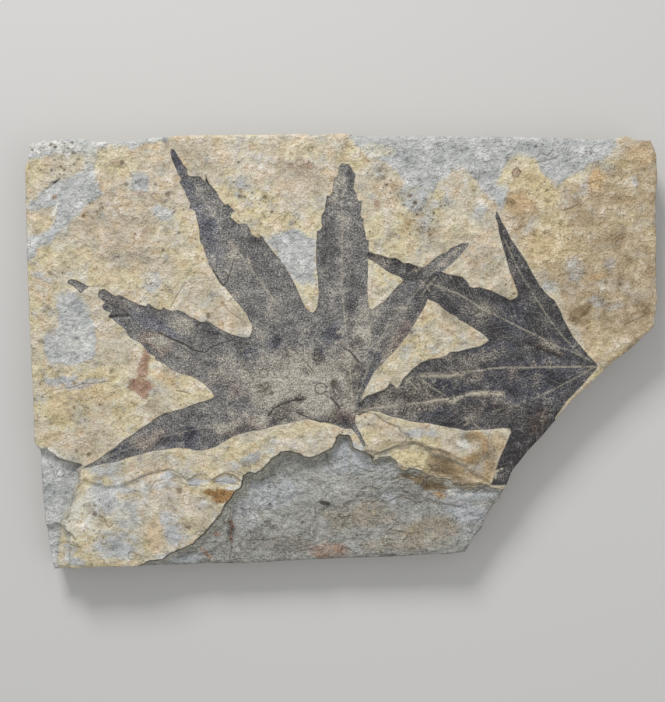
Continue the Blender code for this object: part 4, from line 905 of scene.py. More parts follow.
def roughened(outline, step, seed):
    """A closed outline with more points, moved about as a broken edge is, most of all on the right."""
    line = divided(clockwise(outline), step)
    amount = np.interp(line[:, 0], (150, 330, 400, 480), (1.2, 1.4, 3.0, 3.4))[:, None]
    large, small = ragged(line, 1.0, 9, seed) - line, ragged(line, 1.0, 3.2, seed + 3) - line
    return line + amount * large + 0.9 * small


LEDGES = {
    name: roughened(outline, LEDGE_STEP, 3)
    for name, outline in {
        "main": MAIN_LEDGE_PX, "brown_flake": BROWN_FLAKE_PX, "corner_chip": CORNER_CHIP_PX,
        "corner_foot": CORNER_FOOT_PX, "tongue": TONGUE_PX, "blue_facet": BLUE_FACET_PX,
        "lower_sheet": LOWER_SHEET_PX,
    }.items()
}


def staggered(low, high, step, jitter, seed):
    """Points in staggered rows, a little uneven so that no rows show."""
    made = []
    for i, y in enumerate(np.arange(low[1], high[1], step * 0.866)):
        xs = np.arange(low[0] + step / 2 * (i % 2), high[0], step)
        made.append(np.stack([xs, np.full(len(xs), y)], axis=1))
    made = np.vstack(made)
    return made + jitter * step * np.random.default_rng(seed).uniform(-1, 1, made.shape)


def spaced(points, others, gap):
    """The points that have none of the others in their own or a neighbouring cell, gap pixels wide."""
    cells = set(map(tuple, np.floor(others / gap).astype(int).tolist()))
    own = np.floor(points / gap).astype(int).tolist()
    near = [(a, b) for a in (-1, 0, 1) for b in (-1, 0, 1)]
    kept = [not any((x + a, y + b) in cells for a, b in near) for x, y in own]
    return points[np.array(kept)]


def triangulated(rim, lines, loose, margin):
    """The rim's inside as points, the rim's own first, and triangles that keep each line's steps as edges."""
    points = list(rim)
    edges = [(i, (i + 1) % len(rim)) for i in range(len(rim))]
    for line in lines:
        kept = depth_inside(rim, line) > margin
        place = len(points) + np.cumsum(kept) - 1
        both = kept & np.roll(kept, -1)
        both[-1] &= np.linalg.norm(line[0] - line[-1]) < 3 * EDGE_STEP
        edges += list(zip(place[both].tolist(), np.roll(place, -1)[both].tolist()))
        points += list(line[kept])
    points += list(loose)
    made = delaunay_2d_cdt([Vector(p) for p in points], edges, [], 1, 1e-4)
    places = np.array([v[:] for v in made[0]])
    triangles = np.array(made[2])
    a, b, c = (places[triangles[:, i]] for i in range(3))
    turned = (b - a)[:, 0] * (c - a)[:, 1] - (b - a)[:, 1] * (c - a)[:, 0] > 0
    triangles[turned] = triangles[turned][:, ::-1]
    return places, triangles


def turn_round(count):
    """So many points on a circle of radius 1."""
    turns = [2 * i * math.pi / count for i in range(count)]
    return np.array([(math.cos(turn), math.sin(turn)) for turn in turns])


def feet_of_walls(leaves, broken):
    """Points that the fine relief needs: along walls, veins and cracks, and round rings and spots."""
    feet = [sideways(leaf, offset) for leaf in leaves for offset in (IMPRINT_WALL, -1.2)]
    feet += [sideways(ledge, offset) for ledge in broken for offset in (LIP_WIDTH, -1.3, 2.6)]
    feet += [sideways(LEDGES["main"], offset) for offset in (4.4, 6.4, 8.6)]
    feet += [sideways(LEDGES[name], offset) for name, _, _ in FLOOR_FLAKES for offset in (0.0, 2.2)]
    veins = [divided(line, 2.0, False) for line, _, _ in LIGHT_LINES + DARK_LINES]
    feet += veins + [sideways(line, offset, False) for line in veins for offset in (-1.5, 1.5)]
    spot_ring = np.vstack([(0, 0), turn_round(6)])
    feet += [np.add((x, y), radius * spot_ring) for x, y, radius, _ in SPOTS]
    ring = turn_round(16)
    feet += [np.add((x, y), (radius + more) * ring) for x, y, radius, _ in RINGS for more in (-1.3, 0, 1.3)]
    return np.vstack(feet)


def split_face(rim):
    """The split face's points, triangles and heights, with edges along the leaves and the ledges."""
    leaves = [divided(clockwise(leaf), EDGE_STEP) for leaf in (BROAD_LEAF_PX, TIP_SCRAP_PX, SIDE_LEAF_PX)]
    broken = [LEDGES[name] for name in ("main", "brown_flake", "corner_chip", "tongue")]
    lines = leaves + broken
    feet = feet_of_walls(leaves, broken)
    feet = feet[depth_inside(rim, feet) > RIM_MARGIN]
    _, first = np.unique(np.floor(feet / FOOT_STEP).astype(int), axis=0, return_index=True)
    feet = spaced(feet[np.sort(first)], np.vstack(lines), 0.45)
    loose = staggered(LOW_PX, HIGH_PX, FACE_STEP, 0.18, 5)
    loose = loose[depth_inside(rim, loose) > RIM_MARGIN + 0.4]
    loose = spaced(loose, np.vstack([feet] + lines), 0.8)
    arris = [sideways(rim, offset) for offset in (0.8, 2.4)]
    places, triangles = triangulated(rim, lines, np.vstack([loose, feet] + arris), RIM_MARGIN)
    return places, triangles, face_height(places, depth_inside(rim, places))


def wall_inset(points, height):
    """How far in, in pixels, the broken rim lies at a height in millimetres, layer by layer."""
    layer = np.floor(height / LAYER_HEIGHT + 0.35 * clouds(points, 120, 2, 51))
    own = lattice_value(layer.astype(np.int64), np.zeros(len(points), np.int64), 77)
    along = clouds(points + 400 * own[:, None], 30, 4, 52)
    return np.maximum(0.15, 1.9 + 2.0 * own + 2.6 * along + 0.5 * clouds(points, 5, 2, 53))


def underside_height(points, rim_depth):
    """Flat where the slab rests, with thin broken sheets between and chips towards the rim."""
    height = UNDER_SHEETS * ramp(2.2 * clouds(points, 90, 4, 61, (1.4, 0.9)) - 0.35)
    height += UNDER_CHIPS * ramp(1.4 * clouds(points, 70, 3, 62) - 0.1) * (1 - ramp((rim_depth - 4) / 26))
    return height + 0.05 * (1 + clouds(points, 9, 3, 63))


def uneven_rim():
    """The rim with its small wobble, and the way inwards at each of its points."""
    rim = divided(clockwise(RIM_PX), RIM_STEP)
    wobble = RIM_WOBBLE + RIM_WOBBLE * clouds(rim, 7, 3, 41)
    rim = rim + (sideways(rim, 1.0) - rim) * wobble[:, None]
    return rim, sideways(rim, 1.0) - rim


def build_mesh():
    """Points, heights, triangles, and where each point is: 0 split face, 1 broken side, 2 underside."""
    rim, inward = uneven_rim()
    places, triangles, heights = split_face(rim)
    count = len(rim)
    all_places, all_heights, faces = [places], [heights], [triangles]
    sides = [np.zeros(len(places))]
    above, total = np.arange(count), len(places)
    following = np.roll(np.arange(count), -1)
    foot_ring = rim + inward * wall_inset(rim, np.zeros(count))[:, None]
    foot = underside_height(foot_ring, np.zeros(count))
    for row in range(1, WALL_ROWS + 1):
        share = 1 - row / WALL_ROWS
        height = foot + (heights[:count] - foot) * share
        inset = wall_inset(rim, height) * ramp(0.25 + (1 - share) * 6)
        ring = rim + inward * inset[:, None]
        below = np.arange(total, total + count)
        total += count
        all_places.append(ring)
        all_heights.append(height)
        sides.append(np.ones(count))
        faces.append(np.stack([above, above[following], below[following]], axis=1))
        faces.append(np.stack([above, below[following], below], axis=1))
        above = below
    loose = staggered(LOW_PX, HIGH_PX, UNDER_STEP, 0.22, 9)
    loose = loose[depth_inside(ring, loose) > 0.5 * UNDER_STEP]
    under, under_faces = triangulated(ring, [], loose, 1.0)
    inner = under[count:]
    all_places.append(inner)
    all_heights.append(underside_height(inner, depth_inside(ring, inner, 40)))
    sides.append(np.full(len(inner), 2.0))
    number = np.concatenate([above, np.arange(total, total + len(inner))])
    faces.append(number[under_faces][:, ::-1])
    return np.vstack(all_places), np.concatenate(all_heights), np.vstack(faces), np.concatenate(sides)


def wall_marks(points):
    """Which points are on the broken wall below a lesser ledge, from 0 to 1."""
    made = np.zeros(len(points))
    for name, wall, strength in LESSER_WALLS:
        into = depth_inside(LEDGES[name], points)
        if name == "brown_flake":
            strength = np.interp(points[:, 0], (452, 468), (strength, 0.12))
        above_foot = 1 - ramp((into - 0.7 * wall) / (0.6 * wall))
        made = np.maximum(made, strength * ramp(into + 0.5) * above_foot)
    return made


def vein_phase(points, midribs):
    """Each point's place in the run of side veins, and 1 except where two midribs' veins would meet."""
    best, second = np.full(len(points), np.inf), np.full(len(points), np.inf)
    phase = np.zeros(len(points))
    for number, midrib in enumerate(midribs):
        line = np.asarray(midrib, float)
        steps = np.linalg.norm(np.diff(line, axis=0), axis=1)
        nearest, own = np.full(len(points), np.inf), np.zeros(len(points))
        for start, end, before, length in zip(line, line[1:], np.cumsum(steps) - steps, steps):
            from_start = points - start
            share = from_start @ (end - start) / length ** 2
            held = np.clip(share, 0, 1)
            gap = np.linalg.norm(from_start - held[:, None] * (end - start), axis=1)
            closer = gap < nearest
            nearest = np.where(closer, gap, nearest)
            own = np.where(closer, before + held * length - 1.15 * gap + 3.7 * number, own)
        second = np.where(nearest < best, best, np.minimum(second, nearest))
        phase = np.where(nearest < best, own, phase)
        best = np.minimum(best, nearest)
    return phase, ramp((second - best - 1.5) / 3)


def drawn_marks(points):
    """How strong the light lines, the dark lines with the rings, and the spots are at each point."""
    light, dark, spots = np.zeros((3, len(points)))
    for line, width, strength in LIGHT_LINES:
        light = np.maximum(light, strength * line_mark(line, points, width))
    for line, width, strength in DARK_LINES:
        dark = np.maximum(dark, strength * line_mark(line, points, width))
    for x, y, radius, strength in RINGS:
        dark = np.maximum(dark, strength * (1 - ramp(rings_away(points, x, y, radius) / 1.3)))
    for x, y, radius, strength in SPOTS:
        away = np.hypot(points[:, 0] - x, points[:, 1] - y) / radius
        spots = np.maximum(spots, strength * ramp(1.6 - 1.1 * away))
    return light, dark, spots


def masks(points, sides):
    """What the material needs to know at each point, by name."""
    rough = ragged(ragged(points, 4.5, 16, 70), 2.5, 5, 71)
    broad, side = leaf_depth(points)
    on_side = side > np.maximum(broad, 0)
    phase, keep = (np.where(on_side, a, b) for a, b in zip(
        vein_phase(points, SIDE_MIDRIBS), vein_phase(points, BROAD_MIDRIBS)))
    into_floor = depth_inside(LEDGES["main"], points)
    light, dark, spots = drawn_marks(points)
    # Each with its value off the split face
    on_face = {
        "vein_phase": (phase, 0),
        "vein_keep": (keep, 0),
        "leaf": (np.maximum(broad, side), FAR_OUT),
        "tone": (np.where(on_side, SIDE_TONE, BROAD_TONE), 0),
        "grey": (np.max([depth_inside(outline, rough) for outline in GREY_PX.values()], axis=0), FAR_OUT),
        "tan": (depth_inside(TAN_PX, ragged(points, 7.0, 26, 72)), FAR_OUT),
        "face_tone": (blots(FACE_TONES, rough), 0),
        "floor": (into_floor, FAR_OUT),
        "wall_share": (into_floor / main_wall_width(points), -2),
        # How strong the main ledge's wall colour, its painted lip highlight and the painted shadow under the
        # lip are, fading to the right
        "wall_and_painted_lip_light_strength": (np.interp(points[:, 0], (370, 410, 480), (1.0, 0.6, 0.3)), 0),
        "wall": (wall_marks(points), 0),
        "spot": (spots, 0),
        "light_line": (light, 0),
        "dark_line": (dark, 0),
    }
    on_face.update({name: (blots(places, rough), 0) for name, places in STAINS.items()})
    made = {name: np.where(sides == 0, values, elsewhere) for name, (values, elsewhere) in on_face.items()}
    made["side"] = sides
    return made


def srgb(red, green, blue):
    """A colour as it looks on a screen, from 0 to 255, as the linear colour that a shader takes."""
    levels = (red, green, blue)
    return (*(((c / 255 + 0.055) / 1.055) ** 2.4 if c > 10 else c / 255 / 12.92 for c in levels), 1.0)


STONES = {
    "buff": ((128, 117, 97), (172, 161, 139), (196, 186, 162), (212, 203, 181), (236, 230, 214)),
    "grey": ((118, 119, 120), (157, 159, 158), (180, 181, 178), (196, 197, 194), (224, 223, 220)),
    "tan": ((108, 90, 68), (149, 130, 102), (172, 153, 123), (190, 172, 142), (214, 200, 176)),
    "pink": ((124, 107, 92), (166, 150, 132), (188, 173, 152), (204, 190, 171), (226, 216, 204)),
    "yellow": ((138, 120, 84), (184, 168, 126), (209, 194, 151), (222, 209, 170), (240, 232, 206)),
    "orange": ((128, 94, 54), (168, 130, 82), (198, 160, 110), (214, 182, 134), (232, 210, 172)),
    "umber": ((74, 50, 26), (124, 90, 52), (162, 122, 74), (188, 150, 100), (212, 182, 138)),
    "rust": ((92, 66, 50), (126, 94, 76), (150, 116, 95), (170, 138, 117), (198, 174, 154)),
    "brown": ((82, 66, 44), (116, 98, 70), (142, 122, 92), (164, 146, 116), (196, 182, 156)),
    "blue": ((114, 117, 120), (151, 154, 157), (173, 176, 178), (189, 192, 193), (214, 216, 216)),
    "white": ((158, 156, 146), (192, 190, 180), (212, 210, 200), (226, 224, 214), (242, 241, 234)),
    "floor": ((78, 77, 72), (120, 119, 113), (149, 148, 141), (170, 169, 162), (200, 199, 192)),
}
WALLS = ((96, 94, 82), (172, 170, 156), (214, 212, 200))
SIDES = ((104, 94, 78), (142, 134, 118), (172, 164, 146), (160, 158, 152), (190, 180, 156))
FILMS = {
    "neutral": ((50, 48, 49), (80, 78, 78), (112, 110, 108), (148, 145, 140), (190, 186, 178)),
    "worn": ((62, 56, 50), (96, 90, 82), (130, 124, 114), (163, 156, 144), (204, 197, 183)),
    "blue": ((46, 47, 53), (74, 75, 83), (104, 105, 113), (140, 140, 144), (186, 186, 184)),
    "brown": ((54, 47, 43), (88, 78, 73), (124, 111, 104), (158, 144, 133), (200, 187, 170)),
}
# The lip tint is a painted highlight along the main ledge's edge, and the tint under the lip is painted
# shadow
TINTS = {
    "grey rim": (222, 214, 192), "layer": (86, 80, 72), "lamina": (98, 88, 70), "face": (118, 106, 88),
    "floor crease": (92, 88, 80), "tan crease": (120, 98, 72), "grey crease": (118, 118, 116),
    "face crease": (124, 104, 80), "dot": (100, 90, 74), "lip": (218, 212, 196), "lip shadow": (80, 74, 60),
    "light speck": (190, 183, 170), "dark speck": (46, 44, 46), "side vein": (150, 143, 132),
    "vein shade": (50, 47, 48), "scratch": (164, 158, 148), "margin": (52, 47, 45), "halo": (222, 216, 202),
    "light line": (196, 187, 166), "line on stone": (98, 86, 66), "line on film": (44, 39, 36),
    "spot": (90, 74, 52), "blot": (58, 54, 48),
}
# Noises: size in pixels, detail, roughness, seed, stretch, swirl
NOISES = {
    "fine": (1.4, 1.0, 0.6, 1), "dust": (1.7, 0.0, 0.5, 5), "grit": (1.5, 0.0, 0.5, 31),
    "small": (5.0, 2.0, 0.55, 2), "mottle": (9.0, 2.0, 0.5, 12),
    "middle": (18.0, 2.0, 0.5, 3), "other": (32.0, 2.0, 0.5, 6),
    "large": (75.0, 2.0, 0.5, 4), "wavy": (17.0, 3.0, 0.55, 18, (0.9, 1.15, 1.0), 1.3),
    "stripes": (3.0, 2.0, 0.6, 11, (0.35, 1.2, 1.0)), "layers": (5.0, 3.0, 0.6, 8, (0.12, 0.12, 1.6)),
}


class Tree:
    """A few short calls that put nodes in a material and wire them up."""

    def __init__(self, material):
        material.use_nodes = True
        self.nodes, self.links = material.node_tree.nodes, material.node_tree.links
        self.shader = self.nodes["Principled BSDF"]
        self.place = self.nodes.new("ShaderNodeTexCoord").outputs["Object"]
        self.noise = {name: self.grain(*values) for name, values in NOISES.items()}

    def feed(self, socket, value):
        """Wires another node's output to a socket, or sets the socket's own value."""
        if isinstance(value, bpy.types.NodeSocket):
            self.links.new(value, socket)
        else:
            socket.default_value = value

    def mark(self, name):
        """One of the marks that masks() put on the mesh."""
        node = self.nodes.new("ShaderNodeAttribute")
        node.attribute_name = name
        return node.outputs["Fac"]

    def math(self, operation, first, second=0.0, third=0.0, clamp=False):
        """One step of arithmetic."""
        node = self.nodes.new("ShaderNodeMath")
        node.operation, node.use_clamp = operation, clamp
        for socket, value in zip(node.inputs, (first, second, third)):
            self.feed(socket, value)
        return node.outputs[0]

    def add(self, first, *rest):
        """The sum."""
        return self.math("ADD", first, self.add(*rest)) if rest else first

    def times(self, first, *rest):
        """The product."""
        return self.math("MULTIPLY", first, self.times(*rest)) if rest else first

    def off(self, noise, amount):
        """A noise that runs round 0, made stronger."""
        return self.times(self.math("SUBTRACT", noise, 0.5), amount)

    def uneven(self, *rest, **amounts):
        """The sum of the named noises, each round 0 and as strong as its amount, and of the rest."""
        return self.add(*[self.off(self.noise[name], amount) for name, amount in amounts.items()], *rest)

    def gap(self, value, centre=0.0):
        """How far a value is from the centre."""
        return self.math("ABSOLUTE", self.math("SUBTRACT", value, centre) if centre else value)

    def stripe(self, run):
        """How far a run of stripes is from the nearest stripe's middle: 0 there, 0.5 halfway to the next."""
        return self.gap(self.math("FRACT", run), 0.5)

    def where(self, name, low, high):
        """1 where the named noise is above high, 0 where it is below low, or the other way round."""
        return self.between(self.noise[name], low, high)

    def between(self, value, low, high):
        """0 below low, 1 above high, smooth between."""
        node = self.nodes.new("ShaderNodeMapRange")
        node.interpolation_type = "SMOOTHSTEP"
        self.feed(node.inputs["Value"], value)
        self.feed(node.inputs["From Min"], low)
        self.feed(node.inputs["From Max"], high)
        return node.outputs["Result"]

    def grain(self, size, detail=2.0, rough=0.55, seed=0.0, stretch=(1.0, 1.0, 1.0), swirl=0.0):
        """Noise whose largest lumps are size pixels across, from about 0.2 to 0.8."""
        mapping = self.nodes.new("ShaderNodeMapping")
        self.feed(mapping.inputs["Vector"], self.place)
        mapping.inputs["Location"].default_value = (seed * 1.37, seed * 0.73, seed * 2.11)
        mapping.inputs["Scale"].default_value = stretch
        node = self.nodes.new("ShaderNodeTexNoise")
        self.feed(node.inputs["Vector"], mapping.outputs[0])
        node.inputs["Scale"].default_value = 1.0 / (size * PIXEL)
        node.inputs["Detail"].default_value = detail
        node.inputs["Roughness"].default_value = rough
        node.inputs["Distortion"].default_value = swirl
        return node.outputs["Fac"]

    def crease(self, size, seed, width):
        """Thin wandering lines, 1 on the line, with size pixels or so from one to the next."""
        return self.between(self.gap(self.grain(size, 3.0, 0.5, seed), 0.5), width, 0.0)

    def mix(self, share, first, second):
        """The first colour where the share is 0, the second where it is 1."""
        node = self.nodes.new("ShaderNodeMix")
        node.data_type = "RGBA"
        for socket, value in zip((node.inputs[0], node.inputs[6], node.inputs[7]), (share, first, second)):
            self.feed(socket, value)
        return node.outputs[2]

    def tint(self, colour, name, *shares):
        """The colour with one of the TINTS over it, by the product of the shares."""
        return self.mix(self.times(*shares), colour, srgb(*TINTS[name]))

    def colours(self, value, stops):
        """The colour at a value along a run of (place, colour) stops."""
        node = self.nodes.new("ShaderNodeValToRGB")
        self.feed(node.inputs[0], value)
        while len(node.color_ramp.elements) < len(stops):
            node.color_ramp.elements.new(0.5)
        for element, (place, colour) in zip(node.color_ramp.elements, stops):
            element.position, element.color = place, colour
        return node.outputs[0]


def stops_of(colours, low=0.0, high=1.0):
    """Colour stops spread evenly from low to high."""
    last = len(colours) - 1
    return [(low + (high - low) * i / last, srgb(*colour)) for i, colour in enumerate(colours)]


def zones(tree):
    """Where the ground changes: the flaked floor, grey and tan stone, the ledge's wall and the leaves."""
    add, times, between, uneven = tree.add, tree.times, tree.between, tree.uneven
    floor, leaf, strength = tree.mark("floor"), tree.mark("leaf"), tree.mark("wall_and_painted_lip_light_strength")
    wall = times(
        between(add(floor, uneven(fine=0.8)), -0.2, 0.3),
        between(add(tree.mark("wall_share"), uneven(small=0.35)), 1.12, 0.92), strength)
    return {
        "floor": between(add(floor, uneven(small=1.0)), 0.0, 1.0),
        "grey": between(add(tree.mark("grey"), uneven(middle=5.0, small=3.5)), -2.2, 2.4),
        "tan": between(add(tree.mark("tan"), uneven(middle=12.0)), -6.0, 8.0),
        "wall": tree.math("MAXIMUM", wall, tree.mark("wall")),
        # Painted shadow in a thin band just beneath the main ledge's lip
        "lip shadow": times(between(floor, -0.1, 0.25), between(floor, 1.9, 0.9), strength),
        # Painted highlight in a thin band along the top of the main ledge's lip, where the mottle allows
        "lip": times(
            between(floor, -2.4, -1.0), between(floor, 0.0, -0.4),
            tree.where("mottle", 0.42, 0.56), strength),
        "leaf": between(add(leaf, uneven(fine=1.8, small=1.8)), -0.35, 0.35),
        "margin": times(
            between(tree.gap(add(leaf, uneven(-0.4, small=1.4))), 0.75, 0.15),
            tree.where("mottle", 0.40, 0.56)),
        "halo": times(between(tree.gap(add(leaf, 1.5)), 1.3, 0.2), tree.where("other", 0.46, 0.58)),
    }


def crease_lines(tree, zone):
    """Layers that end in fine wavy edges, and creases that come and go: (where, strength), and the steps."""
    times, between, crease, where = tree.times, tree.between, tree.crease, tree.where
    layering = times(tree.grain(64.0, 5.0, 0.55, 9, (0.55, 1.5, 1.0)), 9.0)
    laminae = times(tree.grain(40.0, 3.0, 0.55, 21, (0.5, 1.6, 1.0)), 16.0)
    face_layering = times(tree.grain(52.0, 5.0, 0.6, 10), 6.0)
    laminated = tree.mark("laminated")
    ends = {name: tree.math("FRACT", run) for name, run in (
        ("layer", layering), ("lamina", laminae), ("face", face_layering))}
    lines = {
        "layer": (times(between(ends["layer"], 0.14, 0.02), zone["floor"], where("other", 0.38, 0.54)), 0.6),
        "lamina": (times(between(ends["lamina"], 0.34, 0.06), between(laminated, 0.15, 0.7)), 0.7),
        "face": (times(between(ends["face"], 0.07, 0.0), where("other", 0.48, 0.58)), 0.4),
        "floor crease": (times(crease(13.0, 14, 0.026), zone["floor"], where("mottle", 0.44, 0.60)), 0.5),
        "tan crease": (times(crease(17.0, 15, 0.026), zone["tan"], where("middle", 0.50, 0.62)), 0.45),
        "grey crease": (times(crease(13.0, 16, 0.024), zone["grey"], where("other", 0.49, 0.60)), 0.45),
        "face crease": (times(crease(17.0, 17, 0.022), where("middle", 0.54, 0.64)), 0.5),
    }
    steps = {
        "layering": tree.math("FLOOR", layering), "face layering": tree.math("FLOOR", face_layering),
        "lamina": times(ends["lamina"], laminated),
    }
    return lines, steps


def dots(tree):
    """Small dark dots, scattered here and there, and crowded where the marks say so."""
    speckled = tree.mark("speckled")
    made = []
    for size, radius, where in (
        (10.0, 0.15, tree.where("large", 0.42, 0.56)),
        (5.5, 0.27, tree.between(tree.add(speckled, tree.uneven(mottle=2.0)), 0.2, 0.65)),
        (3.8, 0.28, tree.between(tree.add(speckled, tree.uneven(small=2.2)), 0.4, 0.9)),
    ):
        cells = tree.nodes.new("ShaderNodeTexVoronoi")
        tree.feed(cells.inputs["Vector"], tree.place)
        cells.inputs["Scale"].default_value = 1.0 / (size * PIXEL)
        made.append(tree.times(tree.between(cells.outputs["Distance"], radius, 0.4 * radius), where))
    return tree.math("MAXIMUM", made[0], tree.math("MAXIMUM", made[1], made[2]))


def stone_shades(tree, zone):
    """Each of the STONES in the same light and dark grain."""
    on_floor = [tree.times(tree.uneven(**amount), zone["floor"]) for amount in (
        {"wavy": 0.45}, {"middle": -0.5}, {"mottle": -0.4})]
    light = tree.uneven(
        *on_floor, tree.mark("face_tone"), 0.58, fine=1.0, small=0.5, mottle=0.65, middle=1.0)
    return {name: tree.colours(light, stops_of(colours, 0.08, 0.92)) for name, colours in STONES.items()}


def patched(tree, zone, shades):
    """Buff and tan stone with soft patches, calmer on the tan, and the grey bedding with its pale edge."""
    times, between, uneven = tree.times, tree.between, tree.uneven
    stone = tree.mix(zone["tan"], shades["buff"], shades["tan"])
    calm = tree.math("SUBTRACT", 1.0, times(zone["tan"], 0.5))
    for patch, low, high, strength, name in (
        (uneven(large=1.4, other=2.0), -0.05, 0.27, 0.6, "yellow"),
        (uneven(large=-1.4, middle=2.0), -0.02, 0.26, 0.55, "pink"),
        (uneven(middle=-1.6, mottle=1.6), 0.10, 0.34, 0.45, "grey"),
        (uneven(other=-2.0, mottle=1.0), 0.18, 0.40, 0.4, "brown"),
        (uneven(middle=1.8, mottle=-1.0), 0.04, 0.34, 0.32, "orange"),
    ):
        stone = tree.mix(times(between(patch, low, high), strength, calm), stone, shades[name])
    stone = tree.mix(zone["grey"], stone, shades["grey"])
    edge = between(tree.gap(tree.add(tree.mark("grey"), 1.2)), 2.0, 0.4)
    return tree.tint(stone, "grey rim", times(edge, tree.where("other", 0.44, 0.56)), 0.25)


def stone_colour(tree, zone, lines, dotted, shades):
    """The bare stone, with its patches, stains, creases, dots and ledge walls, and a painted highlight on the
    main ledge's lip with painted shadow just beneath it.
    """
    times, between, uneven = tree.times, tree.between, tree.uneven
    stone = tree.mix(zone["floor"], patched(tree, zone, shades), shades["floor"])
    spread = uneven(1.0, mottle=1.8, small=1.1, fine=0.5)
    blue = times(tree.math("SUBTRACT", 1.0, times(zone["tan"], 0.3)), 0.9)
    for name, strength in (
        ("pink", 0.7), ("blue", blue), ("yellow", 0.9), ("orange", 0.8), ("brown", 0.9), ("rust", 0.9),
        ("umber", 0.9), ("white", 0.85),
    ):
        stain = between(times(tree.mark(name), spread), 0.05, 0.85)
        stone = tree.mix(times(stain, strength), stone, shades[name])
    for name, (line, strength) in lines.items():
        stone = tree.tint(stone, name, line, strength)
    stone = tree.tint(stone, "dot", dotted, 0.7)
    courses = tree.stripe(tree.add(times(tree.mark("wall_share"), 3.0), uneven(middle=1.6, small=0.7)))
    wall_light = uneven(times(between(courses, 0.14, 0.03), -0.35), 0.55, stripes=1.3, fine=1.2)
    stone = tree.mix(times(zone["wall"], 0.85), stone, tree.colours(wall_light, stops_of(WALLS, 0.1, 0.9)))
    # Painted highlight along the main ledge's lip, then painted shadow just beneath it
    stone = tree.tint(stone, "lip", zone["lip"], 0.55)
    return tree.tint(stone, "lip shadow", zone["lip shadow"], 0.6)


def film_colour(tree):
    """The pressed leaves' dark film, with specks, veins, scratches and worn places, and the side veins."""
    add, times, between, uneven = tree.add, tree.times, tree.between, tree.uneven
    worn = tree.mark("film_worn")
    darker, lighter = times(tree.mark("film_dark"), -0.32), times(worn, 0.26)
    light = add(
        tree.mark("tone"), uneven(darker, lighter, fine=1.75, small=0.45, mottle=0.55, middle=0.55))
    film = tree.colours(light, stops_of(FILMS["neutral"]))
    for name in ("blue", "brown", "worn"):
        share = between(add(tree.mark("film_" + name), uneven(middle=1.4, mottle=1.0)), 0.15, 0.85)
        film = tree.mix(share, film, tree.colours(light, stops_of(FILMS[name])))
    crowd = between(add(times(worn, 0.8), uneven(mottle=2.2, middle=1.8)), -0.2, 0.9)
    film = tree.tint(film, "light speck", tree.where("dust", 0.56, 0.70), crowd, 0.65)
    film = tree.tint(film, "dark speck", tree.where("grit", 0.42, 0.30), 0.45)
    run = add(times(tree.mark("vein_phase"), 1 / VEIN_SPACING), uneven(middle=1.2, small=0.3))
    keep = tree.mark("vein_keep")
    side_vein = times(between(tree.stripe(run), 0.10, 0.02), keep, tree.where("other", 0.40, 0.56))
    film = tree.tint(film, "side vein", side_vein, 0.35)
    shade = times(between(tree.stripe(add(run, 0.2)), 0.16, 0.03), keep, tree.where("mottle", 0.40, 0.56))
    film = tree.tint(film, "vein shade", shade, 0.30)
    scratches = times(tree.crease(13.0, 19, 0.018), tree.where("mottle", 0.52, 0.64))
    return tree.tint(film, "scratch", scratches, 0.3), side_vein


